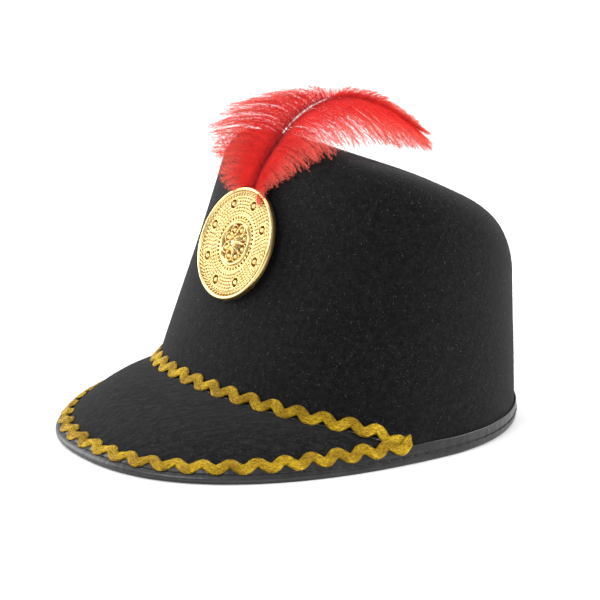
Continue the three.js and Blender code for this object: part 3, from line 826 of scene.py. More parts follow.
@dataclass
class FeltHat:
    """The moulded felt, crown and peak in one sheet, and the loose fibres on it."""

    form: HatForm
    columns: int = 320
    sheet_rows: int = 26
    fold_rows: int = 7
    wall_rows: int = 20
    edge_rows: int = 12
    top_rows: int = 14
    fold_radius: float = 3.2
    felt_edge: float = 0.9
    ridge: float = 0.3
    unevenness: float = 0.35
    fibres: int = 46000
    fibre_length: tuple[float, float] = (0.7, 1.9)
    fibre_width: float = 0.09
    first_fibre_row: int = 5
    combing: tuple[float, float, float] = (0.75, -0.62, -0.1)
    pale_fibres: float = 0.12
    seed: int = 7

    def middle_layer(self) -> tuple[Array, Array, Array]:
        """The felt's middle layer as columns of points up the hat.

        Each column is the sheet, a rounded fold, the wall, a rounded edge and the top, each a
        formula of the angle and a part of the way.

        Returns:
            The points (columns, rows, 3), the peak mask and the top's middle point.
        """
        form = self.form
        angle = 2 * np.pi * np.arange(self.columns) / self.columns
        length = form.sheet_length(angle)
        low = (self.felt_edge / length)[:, None]
        high = (1 - self.fold_radius / length)[:, None]
        parts = mix(low, high, np.linspace(0, 1, self.sheet_rows)[None, :])
        sheet = form.sheet(angle, parts)
        fold = form.fold_height(angle)
        corner = form.corner(angle)
        crease = form.wall(angle, fold)
        above = form.wall(angle, fold + self.fold_radius)
        folded = bezier(sheet[:, -1], crease, above, np.linspace(0, 1, self.fold_rows)[1:])
        ends = form.corner(np.array([FRONT, -FRONT]))
        backward = (corner[:, 1] - ends[0, 1]) / (ends[1, 1] - ends[0, 1])
        rounding = mix(form.front_edge_rounding, form.back_edge_rounding, backward)
        lowest, highest = (fold + self.fold_radius)[:, None], (corner[:, 2] - rounding)[:, None]
        up_wall = np.linspace(0, 1, self.wall_rows)[None, 1:]
        wall = form.wall(angle[:, None], mix(lowest, highest, up_wall))
        middle = np.array([0.0, ends[:, 1].mean(), 0.0])
        reach = np.hypot(corner[:, 0], corner[:, 1] - middle[1])
        flat = 1 - rounding / reach
        inner = form.top(corner, flat[:, None], middle)[:, 0]
        edge = bezier(wall[:, -1], corner, inner, np.linspace(0, 1, self.edge_rows)[1:])
        top = form.top(corner, flat[:, None] * np.linspace(1, 0.03, self.top_rows)[None, 1:], middle)
        points = np.concatenate([sheet, folded, wall, edge, top], 1)
        forward = smooth(-np.sin(angle), -0.05, 0.2)[:, None]
        on_sheet = np.arange(points.shape[1])[None, :] < self.sheet_rows + self.fold_rows // 2
        pole = form.top(middle[None, :], np.zeros((1, 1)), middle)[0, 0]
        return points, forward * on_sheet, pole

    def normals(self, points: Array) -> Array:
        """The layer's normals: the way round the hat crossed with the way up the column."""
        around = np.roll(points, -1, 0) - np.roll(points, 1, 0)
        return unit(np.cross(around, np.gradient(points, axis=1)))

    def swell(self, points: Array) -> Array:
        """Slow unevenness of hand-blocked felt: a sum of sine waves of the place, in millimetres.

        It fades out near the rim and the braids, which sit on the plain form.
        """
        x, y, z = points[..., 0], points[..., 1], points[..., 2]
        broad = np.sin(x / 19 + 0.7) * np.sin(y / 23 + z / 31)
        waves = broad + 0.6 * np.sin(x / 11 - z / 17 + 2.1) * np.sin(y / 13 + 1.3)
        rows = points.shape[1]
        edge_start = self.sheet_rows + self.fold_rows + self.wall_rows - 2
        row = np.arange(rows)[None, :]
        ridge = self.ridge * np.exp(-(((row - edge_start - self.edge_rows * 0.45) / 2.4) ** 2))
        calm = smooth(row, self.sheet_rows + self.fold_rows, self.sheet_rows + self.fold_rows + 6)
        return self.unevenness * waves * calm + ridge

    def build(self) -> None:
        """Makes the felt and its fibres."""
        points, peak, pole = self.middle_layer()
        normals = self.normals(points)
        points = points + normals * self.swell(points)[..., None]
        normals = self.normals(points)
        half = self.form.felt / 2
        outer, inner = points + normals * half, points - normals * half
        count, rows, _ = points.shape
        size = count * rows
        up = np.array([0.0, 0.0, half])
        quads = grid_faces(count, rows, close_rows=True)[:, ::-1]
        low = np.arange(count) * rows
        low_next = np.roll(low, -1)
        high, high_next = low + rows - 1, low_next + rows - 1
        faces = [
            quads,
            quads[:, ::-1] + size,
            np.stack([size + low, size + low_next, low_next, low], -1),
            np.stack([high, high_next, np.full(count, 2 * size)], -1),
            np.stack([size + high_next, size + high, np.full(count, 2 * size + 1)], -1),
        ]
        every = np.concatenate([outer.reshape(-1, 3), inner.reshape(-1, 3), pole + up[None], pole - up[None]])
        mask = np.concatenate([peak.ravel(), peak.ravel(), [0, 0]])
        Surface(every, faces, None, {"peak": mask}).build("felt_hat", FeltFinish(), Slot.FELT, "felt_body")
        self.fibre_surface(outer, normals, peak).build("felt_pile", FibreFinish(), Slot.FELT)

    def fibre_surface(self, outer: Array, normals: Array, peak: Array) -> Surface:
        """Loose fibres: each a bent sliver that leaves the felt at a low slope.

        A fibre's root is a random place of a random cell, cells being picked by area. Its sliver
        runs from the root to a knee and from there, in a new direction, to its point.

        Args:
            outer: The outer layer's points.
            normals: Its normals.
            peak: The peak mask, where the fibres are combed along one slant.

        Returns:
            All fibres as one surface with the fact "tone".
        """
        rng = np.random.default_rng(self.seed)
        grid, ways, mask = (
            np.concatenate([values, values[:1]], 0)[:, self.first_fibre_row:]
            for values in (outer, normals, peak)
        )
        side_a = grid[1:, :-1] - grid[:-1, :-1]
        side_b = grid[:-1, 1:] - grid[:-1, :-1]
        area = np.linalg.norm(np.cross(side_a, side_b), axis=-1)
        cell = rng.choice(area.size, self.fibres, p=(area / area.sum()).ravel())
        i, j = np.unravel_index(cell, area.shape)
        s, t = rng.random((2, self.fibres, 1))
        root = mix(mix(grid[i, j], grid[i + 1, j], s), mix(grid[i, j + 1], grid[i + 1, j + 1], s), t)
        normal = unit(ways[i, j])
        level = unit(np.cross(normal, unit(rng.normal(size=(self.fibres, 3)))))
        combing = np.array(self.combing)
        combed = unit(combing - normal * (normal @ combing)[:, None])
        on_peak = mask[i, j][:, None]
        lie = unit(level * (1 - 0.75 * on_peak) + combed * on_peak)
        slope = rng.uniform(0.05, 0.55, (self.fibres, 1))
        first = unit(lie + normal * slope)
        second = unit(first + 0.9 * rng.normal(size=(self.fibres, 3)) * 0.6 - normal * slope * 0.7)
        length = rng.uniform(*self.fibre_length, (self.fibres, 1))
        across = unit(np.cross(first, normal)) * self.fibre_width / 2
        root = root - normal * 0.05
        knee = root + first * length * 0.5
        tip = knee + second * length * 0.5
        points = np.stack([root - across, root + across, knee + across, knee - across, tip], 1)
        start = np.arange(self.fibres)[:, None] * 5
        is_pale = rng.random(self.fibres) < self.pale_fibres
        tone = np.where(is_pale, rng.uniform(0.25, 0.9, self.fibres), rng.uniform(0.0, 0.14, self.fibres))
        faces = [start + np.array([corners]) for corners in ([0, 1, 2, 3], [3, 2, 4])]
        return Surface(points.reshape(-1, 3), faces, None, {"tone": np.repeat(tone, 5)})


# ---- The binding ----


@dataclass
class Binding:
    """The tape folded round the rim, pinched by one row of stitches on each face."""

    form: HatForm
    tape: float = 0.8
    tape_top: float = 6.8
    edge_round: float = 0.34
    stitch_pitch: float = 6.4
    stitch_height: float = 1.9
    groove_depth: float = 0.3
    groove_half_width: float = 0.9
    thread_radius: float = 0.26
    steps_per_stitch: int = 8
    stations: int = 1440
    frame_height: float = 7.3
    face_from: float = 1.8
    hole_radius: float = 0.55

    def frames(self) -> tuple[Array, Array, Array, Array]:
        """The rim as a path: fold centres, the way up the leg, the way out, distance walked."""
        angle = np.linspace(FRONT, 2 * np.pi + FRONT, self.stations + 1)
        centre = self.form.edge_centre(angle)
        length = self.form.sheet_length(angle) * self.form.squareness(angle)
        above = self.form.sheet(angle, (self.frame_height / length)[:, None])[:, 0]
        around = np.roll(centre[:-1], -1, 0) - np.roll(centre[:-1], 1, 0)
        around = unit(np.concatenate([around, around[:1]]))
        out = unit(np.cross(around, above - centre))
        up = np.cross(out, around)
        return centre, up, out, walk(centre)

    def place(self, distance: Array, outward: Array, upward: Array) -> Array:
        """Points given in the rim's own frames.

        Args:
            distance: How far round the rim, in millimetres from the middle of the front.
            outward: How far out from the felt's middle layer.
            upward: How far up the leg from the fold's centre.

        Returns:
            The points, kept on or above the ground.
        """
        centre, up, out, walked = self.frames()
        around = np.mod(distance, walked[-1])
        centre, out, up = (read(around, walked, values) for values in (centre, out, up))
        p = centre + out * outward[..., None] + up * upward[..., None]
        p[..., 2] = np.maximum(p[..., 2], 0)
        return p

    def section(self) -> tuple[Array, Array]:
        """The tape's section as (outward, upward) pairs: outer face, fold, inner face, slot.

        Returns:
            The pairs in order round the section, and a mask that is 1 on the two outer faces.
        """
        big, top, r = self.form.tape_fold, self.tape_top, self.edge_round
        slot = big - self.tape
        corner = np.linspace(0, np.pi / 2, 4)
        leg = np.linspace(top - r, 0, 15)
        outer_corner = np.stack([big - r + r * np.sin(corner), top - r + r * np.cos(corner)], -1)
        outer_leg = np.stack([np.full(14, big), leg[1:]], -1)
        fold = np.linspace(0, np.pi, 22)[1:-1]
        under = np.stack([big * np.cos(fold), -big * np.sin(fold)], -1)
        face = np.concatenate([outer_corner, outer_leg])
        outside = np.concatenate([face, under, face[::-1] * [-1, 1]])
        inside_fold = np.linspace(np.pi, 0, 9)
        inside = np.stack([slot * np.cos(inside_fold), -slot * np.sin(inside_fold)], -1)
        section = np.concatenate([outside, [[-slot, top - r]], inside, [[slot, top - r]]])
        return section, np.concatenate([np.ones(len(outside)), np.zeros(len(section) - len(outside))])

    def build(self) -> None:
        """Makes the tape, then its stitches."""
        total = self.frames()[3][-1]
        stitches = round(total / self.stitch_pitch)
        pitch = total / stitches
        rings = stitches * self.steps_per_stitch
        section, outside = self.section()
        distance = (np.arange(rings) * pitch / self.steps_per_stitch)[:, None]
        out, up = section[None, :, 0], section[None, :, 1]
        to_hole = np.abs(np.mod(distance / pitch + 0.5, 1) - 0.5) * pitch
        on_face = outside * (np.abs(out) > self.face_from)
        near_row = np.exp(-(((up - self.stitch_height) / self.groove_half_width) ** 2)) * on_face
        pinch = self.groove_depth * (0.35 + 0.65 * np.exp(-((to_hole / 1.1) ** 2)))
        puff = 0.1 * smooth(up, 2.6, 4.0) * (1 - smooth(up, 5.4, 6.6)) * (1 - np.exp(-((to_hole / 1.7) ** 2)))
        ripple = 0.1 * np.sin(distance / 9.1 + 0.5) + 0.07 * np.sin(distance / 3.7 + 1.9)
        outward = out + np.sign(out) * (on_face * puff - near_row * pinch)
        upward = up + ripple * smooth(up, 4.5, 6.6)
        points = self.place(np.broadcast_to(distance, outward.shape), outward, upward)
        from_hole = (to_hole / self.hole_radius) ** 2 + ((up - self.stitch_height) / self.hole_radius) ** 2
        hole = np.minimum(1.3 * np.exp(-from_hole) * on_face, 1)
        edge = smooth(np.abs(up - 5.2), 0.9, 1.5) * outside
        uv = np.stack(np.broadcast_arrays(distance, walk(section)[None, :]), -1)
        faces = [grid_faces(rings, len(section), close_rows=True, close_columns=True)]
        facts = {"hole": spread(hole, outward), "edge": spread(edge, outward)}
        tape = Surface(points.reshape(-1, 3), faces, uv.reshape(-1, 2), facts)
        tape.build("rim_tape", TapeFinish(), Slot.TAPE, "rim_binding")
        self.stitch_surface(stitches, pitch).build("rim_stitches", ThreadFinish(), Slot.TAPE)

    def stitch_surface(self, stitches: int, pitch: float) -> Surface:
        """Stitches on both faces: threads that dip into a needle hole at each end."""
        t = np.linspace(0.03, 0.97, 11)[None, :]
        distance = (np.arange(stitches)[:, None] + t) * pitch
        rise = -0.7 + 0.72 * (1 - np.abs(2 * t - 1) ** 6)
        radius = self.thread_radius * np.clip(1.15 - np.abs(2 * t - 1) ** 8, 0.4, 1)
        rows = []
        for side in (1.0, -1.0):
            outward = side * np.broadcast_to(self.form.tape_fold + rise + 0.12, distance.shape)
            path = self.place(distance, outward, np.full(distance.shape, self.stitch_height))
            rows.append(tubes(path, radius, np.array([0.0, 0.0, 1.0]), 6))
        return joined(rows)


# ---- The rickrack ----


class BraidLine(Enum):
    """Which line a braid follows."""

    CREASE = "crease"
    PEAK = "peak"


@dataclass
class Rickrack:
    """One wavy gold braid: a flat band of threads that swings from side to side."""

    form: HatForm
    line: BraidLine
    end_angle: float
    name: str
    stands_for: str
    swing: float = 1.75
    width: float = 9.0
    band: float = 5.3
    thickness: float = 0.9
    wave: float = 12.7
    seat: float = 0.1
    threads: int = 8
    end_lift: float = 0.0
    steps_per_wave: int = 32
    across_points: int = 33
    front_distance: float = 5.4
    side_distance: float = 8.2
    tape_step: float = 1.15
    rise: float = 0.7
    drop: float = 26.0
    drop_power: float = 4.5
    ridge_depth: float = 0.2

    def from_rim(self, angle: Array) -> Array:
        """How far the peak braid's middle line is from the rim: nearest round the front."""
        return mix(self.front_distance, self.side_distance, smooth(np.sin(angle), -0.82, -0.2))

    def over_tape(self, angle: Array, offset: Array) -> Array:
        """How much the peak braid rises where it lies on the tape: a smooth step at its edge."""
        if self.line is BraidLine.CREASE:
            return np.zeros(offset.shape)
        return self.tape_step * (1 - smooth(self.from_rim(angle)[:, None] + offset, 6.4, 8.6))

    def middle(self, angle: Array) -> Array:
        """How far up the columns the braid's middle line runs."""
        if self.line is BraidLine.PEAK:
            return self.from_rim(angle) / self.form.squareness(angle)
        return self.form.sheet_length(angle) + self.rise - self.drop * (1 + np.sin(angle)) ** self.drop_power

    def seats(self, angle: Array) -> tuple[Array, Array, Array, Array]:
        """Where the braid lies: it bridges two points of the felt, half its width up and down.

        Args:
            angle: Angles round the hat.

        Returns:
            Centres, and the ways along, across and out.
        """
        middle = self.middle(angle)
        line = self.form.up_sheet(angle, middle)
        along = unit(np.gradient(line, axis=0))
        column = unit(self.form.up_sheet(angle, middle + 1) - self.form.up_sheet(angle, middle - 1))
        square = np.sqrt(1 - (along * column).sum(-1) ** 2)
        high = self.form.up_sheet(angle, middle + self.width / 2 / square)
        low = self.form.up_sheet(angle, middle - self.width / 2 / square)
        out = unit(np.cross(along, high - low))
        base = self.form.felt / 2 + self.seat
        to_end = np.minimum(angle - (-np.pi + self.end_angle), -self.end_angle - angle)
        raised = self.end_lift * (1 - smooth(to_end, math.radians(4), math.radians(17)))
        centre = (high + low) / 2 + out * (base + raised)[:, None]
        return centre, along, np.cross(out, along), out

    def build(self, material: bpy.types.Material) -> None:
        """Makes the braid.

        The middle line swings by a sine of the distance. A thread of the band lies at a fixed
        offset from it, along a direction that leans half as much as the line does. The section
        is a flat oval with a ridge for each thread.
        """
        fine = np.linspace(-np.pi + self.end_angle, -self.end_angle, 900)
        walked = walk(self.seats(fine)[0])
        waves = round(walked[-1] / self.wave)
        stations = waves * self.steps_per_wave + 1
        distance = np.linspace(0, walked[-1], stations)
        angle = np.interp(distance, walked, fine)
        centre, along, across, out = self.seats(angle)
        swing = self.swing
        phase = 2 * np.pi * waves * distance / walked[-1] + np.pi / 2
        slope = np.arctan(swing * 2 * np.pi * waves / walked[-1] * np.cos(phase))
        lean = 0.5 * slope
        w = np.linspace(-1, 1, self.across_points)[None, :]
        serration = 1 + 0.06 * np.where(np.arange(stations) % 2, 1, -1)[:, None] * np.abs(w) ** 6
        half = self.band / 2 / np.cos(slope - lean)[:, None]
        offset = w * half * serration
        thread = w * self.threads / 2
        ridge = np.abs(np.cos(np.pi * thread))
        plait = 0.05 * np.sin(phase[:, None] * 9 + np.floor(thread + 0.5) * np.pi)
        oval = self.thickness * (0.35 + 0.65 * (1 - np.abs(w) ** 7))
        height = oval + self.ridge_depth * (ridge - 1) * (1 - np.abs(w) ** 9) + plait
        swung = (swing * np.sin(phase))[:, None]
        under = np.array([0.93, 0.0, -0.93])[None, :] * half
        sideways = np.concatenate([offset, under], 1)
        upward = sideways * np.cos(lean)[:, None]
        rise = np.concatenate([height, np.zeros(under.shape)], 1) + self.over_tape(angle, upward + swung)
        ring = (
            (centre + across * swung)[:, None]
            - along[:, None] * (sideways * np.sin(lean)[:, None])[..., None]
            + across[:, None] * upward[..., None]
            + out[:, None] * rise[..., None]
        )
        size = ring.shape[1]
        uv = np.stack(np.broadcast_arrays(distance[:, None], sideways), -1)
        groove = np.concatenate([np.broadcast_to(1 - ridge, offset.shape), np.ones(under.shape)], 1)
        caps = [np.arange(size)[None, ::-1], (stations - 1) * size + np.arange(size)[None, :]]
        faces = [f[:, ::-1] for f in (grid_faces(stations, size, close_columns=True), *caps)]
        surface = Surface(ring.reshape(-1, 3), faces, uv.reshape(-1, 2), {"groove": groove.ravel()})
        surface.build(self.name, material, Slot.BRAID, self.stands_for)

    def glue(self) -> None:
        """A broken bead of dried glue on the felt, along the braid's lower side."""
        angle = np.linspace(-np.pi + self.end_angle + 0.1, -self.end_angle - 0.1, 700)
        offset = self.middle(angle) - self.width / 2 + 0.75 + 0.3 * np.sin(angle * 37)
        path = self.form.up_sheet(angle, offset)
        ahead = unit(np.gradient(path, axis=0))
        higher = self.form.up_sheet(angle, offset + 1)
        out = unit(np.cross(ahead, unit(higher - path)))
        path = path + out * self.form.felt / 2
        radius = 0.05 + 0.14 * np.clip(np.sin(angle * 61) * np.sin(angle * 23 + 1) + 0.25, 0, 1)
        tubes(path[None], radius[None], out[None], 6).build("braid_glue", GlueFinish(), Slot.BRAID)


# ---- The medallion ----


@dataclass
class Medallion:
    """The stamped disc: its relief is a height over a polar grid, in the disc's own frame."""

    form: HatForm
    height_on_wall: float = 91.0
    offset: float = 3.4
    field: float = 2.1
    recess: float = 0.9
    rings: int = 118
    spokes: int = 576
    bosses: int = 8
    boss_circle: float = 20.4
    boss_shift: float = 0.66
    rim_circle: float = 27.05
    rope_circle: float = 25.2
    rope_strands: int = 72
    grain_pitch: float = 1.6
    grain_start: float = 14.4
    dot_circle: float = 12.8
    dots: int = 38
    ring_circle: float = 10.4
    ball_circle: float = 6.9
    rays: int = 8
    ray_shift: float = 0.16
    wall: tuple[tuple[float, float], ...] = (
        (27.95, 2.3), (28.0, 1.9), (28.0, 0.5), (27.85, 0.12), (27.6, 0.0),
        (25.8, 0.0), (25.4, 0.25), (25.1, 0.85), (24.6, 0.9), (0.12, 0.9),
    )

    def frame_axes(self) -> tuple[Array, Array]:
        """The disc's origin and its axes as rows: right, up the wall, out."""
        out = self.form.wall_out
        right = np.array([1.0, 0.0, 0.0])
        origin = self.form.front_wall(self.height_on_wall) + out * self.offset
        return origin, np.stack([right, np.cross(out, right), out])

    def nearest(self, x: Array, y: Array, circle: float, count: int, shift: float) -> tuple[Array, Array]:
        """The place beside the nearest of some centres spread on a circle.

        Returns:
            Offsets from the nearest centre, along the radius and square to it.
        """
        theta = np.arctan2(y, x)
        step = 2 * np.pi / count
        own = (np.floor((theta / step) - shift + 0.5) + shift) * step
        away = x * np.cos(own) + y * np.sin(own) - circle
        beside = -x * np.sin(own) + y * np.cos(own)
        return away, beside

    def relief(self, r: Array, theta: Array) -> tuple[Array, Array]:
        """The face: rolled rim, rope, granules, bosses, dotted ring, plain ring and a flower.

        Returns:
            The heights, and a mask of the dots, the bosses' hollows, the rope's notches and, as painted
            shade, the trenches round the balls.
        """
        x, y = r * np.cos(theta), r * np.sin(theta)
        h = self.field + 1.1 * dome(r - self.rim_circle, 1.0)
        from_rope = r - self.rope_circle
        rope = 0.5 + 0.5 * np.cos(self.rope_strands * theta + 4.5 * from_rope)
        h += bump(from_rope, 1.15) * (0.05 + 1.0 * rope)
        h += 0.62 * self.grains(r, theta) * smooth(r, 14.2, 14.5) * (1 - smooth(r, 24.1, 24.4))
        d = np.hypot(*self.nearest(x, y, self.boss_circle, self.bosses, self.boss_shift))
        clear = smooth(d, 3.0, 3.3)
        hollow = bump(d - 1.75, 0.6)
        h = h * clear + self.field * (1 - clear)
        h += 0.75 * bump(d - 2.6, 0.55) - 0.85 * hollow + 1.0 * dome(d, 1.3)
        h += 0.6 * bump(r - self.dot_circle, 1.35)
        pit, pit_across = self.nearest(x, y, self.dot_circle, self.dots, 0.0)
        pitted = np.clip(1.4 - (pit / 0.72) ** 2 - (pit_across / 0.66) ** 2, 0, 1)
        h -= 1.5 * pitted
        h += 0.9 * bump(r - self.ring_circle, 1.05)
        h -= 0.7 * (1 - smooth(r, 9.2, 9.8))
        ball, ball_across = self.nearest(x, y, self.ball_circle, self.bosses, self.boss_shift)
        ball_d = np.hypot(ball, ball_across)
        h += 1.25 * dome(ball_d, 1.25)
        h += 0.9 * bump(ball_d - 2.4, 0.5) * smooth(ball, -1.2, 0.0)
        ray, ray_across = self.nearest(x, y, 0.0, self.rays, self.ray_shift)
        ray_height = bump(ray_across, mix(1.9, 0.9, ray / 9))
        h += 1.3 * ray_height * smooth(ray, 1.0, 3.0) * (1 - smooth(ray, 6.0, 7.6))
        h += 2.2 * (1 - smooth(r, 2.4, 5.6)) + 0.35 * dome(r, 1.4) - 0.3 * bump(r - 1.9, 0.5)
        # Painted shade: the trench round each ball is put into the mask that darkens the plating.
        trench = bump(ball_d - 1.7, 0.55)
        notch = (1 - rope) * bump(from_rope, 0.8)
        return h, np.clip(pitted + hollow + 0.8 * trench + 0.7 * notch, 0, 1)

    def grains(self, r: Array, theta: Array) -> Array:
        """Round grains in staggered rings: each is the upper half of a ball in its own cell."""
        row = np.floor((r - self.grain_start) / self.grain_pitch)
        row_r = self.grain_start + (row + 0.5) * self.grain_pitch
        count = np.round(2 * np.pi * row_r / 1.9)
        beside = np.mod(theta * count / (2 * np.pi) + 0.5 * np.mod(row, 2), 1) - 0.5
        return np.sqrt(np.clip(1 - ((r - row_r) / 0.8) ** 2 - (beside / 0.47) ** 2, 0, 1))

    def build(self) -> None:
        """Makes the disc: the relief, then a smooth wall down to the rim and a hollow back."""
        theta = 2 * np.pi * np.arange(self.spokes) / self.spokes
        r_face = np.linspace(0.12, 27.75, self.rings)
        r, t = np.meshgrid(r_face, theta, indexing="ij")
        h, hollow = self.relief(r, t)
        blurred = sum(np.roll(h, k, 1) for k in (-9, -5, 0, 5, 9)) / 5
        ring = np.arange(self.rings)
        blurred = sum(blurred[np.clip(ring + k, 0, self.rings - 1)] for k in (-4, -2, 0, 2, 4)) / 5
        # The plating darkens where the relief lies below its blurred self and where the mask is high.
        recess = np.clip((blurred - h) * 3.0 + 0.08 + 0.9 * hollow, 0, 1)
        wall_r, wall_h = (np.repeat(np.array(c)[:, None], self.spokes, 1) for c in zip(*self.wall))
        all_r, all_h = np.concatenate([r, wall_r]), np.concatenate([h, wall_h])
        all_t = np.broadcast_to(theta, all_r.shape)
        local = np.stack([all_r * np.cos(all_t), all_r * np.sin(all_t), all_h], -1)
        origin, axes = self.frame_axes()
        points = (origin + local @ axes).reshape(-1, 3)
        rows = len(all_r)
        poles = origin + np.array([[0, 0, h[0].mean()], [0, 0, 0.9]]) @ axes
        first = np.arange(self.spokes)
        after = np.roll(first, -1)
        total, last = rows * self.spokes, (rows - 1) * self.spokes
        faces = [
            grid_faces(rows, self.spokes, close_columns=True)[:, ::-1],
            np.stack([first, after, np.full(self.spokes, total)], -1),
            np.stack([last + after, last + first, np.full(self.spokes, total + 1)], -1),
        ]
        # Painted shade: the rim's outer side wall gets a high recess value, so the plating darkens it as if
        # in shadow.
        back = np.where((wall_h < 2.1) & (wall_r > 27.7), 0.6, 0.12)
        facts = {"recess": np.concatenate([recess.ravel(), back.ravel(), [0, 0.3]])}
        gold = PlateFinish().material()
        disc = Surface(np.concatenate([points, poles]), faces, None, facts)
        disc.build("stamped_medallion", gold, Slot.METAL, "medallion")
        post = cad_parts["medallion_post"]
        post.data.materials.clear()
        post.data.materials.append(gold)


# ---- The plume ----


@dataclass(frozen=True)
class BarbTable:
    """Where barb tips lie from their roots: rows of part of the arc, x, y, z."""

    side: float
    rows: tuple[tuple[float, float, float, float], ...]

    def reach(self, part: Array) -> Array:
        """The way from root to tip at parts of the arc, read between the rows."""
        rows = np.array(self.rows)
        return read(part, rows[:, 0], rows[:, 1:])


FRONT_BARBS = BarbTable(1.0, (
    (0.0, -10, -7, -3), (0.05, -18, -12, -1), (0.09, -20, -13.5, 5), (0.2, -29, -19.5, 4),
    (0.29, -31, -21, 2.5), (0.38, -29, -20, 4), (0.46, -19, -13, 6), (0.52, -8, -3, 6.5),
    (0.58, 0.5, 8, 4.5), (0.66, 4, 13, 1), (0.8, 5, 14, -5), (1, 3.9, 10.7, -6),
))
REAR_BARBS = BarbTable(-1.0, (
    (0.0, 14, -9, -5.5), (0.03, 14.5, -7, -4.5), (0.05, 14, -4, -2.5), (0.09, 17.5, -2, -3),
    (0.2, 28.8, 1, -3), (0.38, 38, 1, -7.5), (0.53, 38, 10.7, -17), (0.66, 33.4, 9, -21.4),
    (0.79, 24, 12, -21), (0.93, 12.5, 10, -14), (1, 5.5, 9, -8),
))


ARCH = (
    (0.0, 0.0), (4.3, 10.2), (10.8, 20.6), (21.5, 33.2),
    (32.5, 40.3), (46.0, 42.8), (60.0, 38.5), (79.0, 26.0),
)


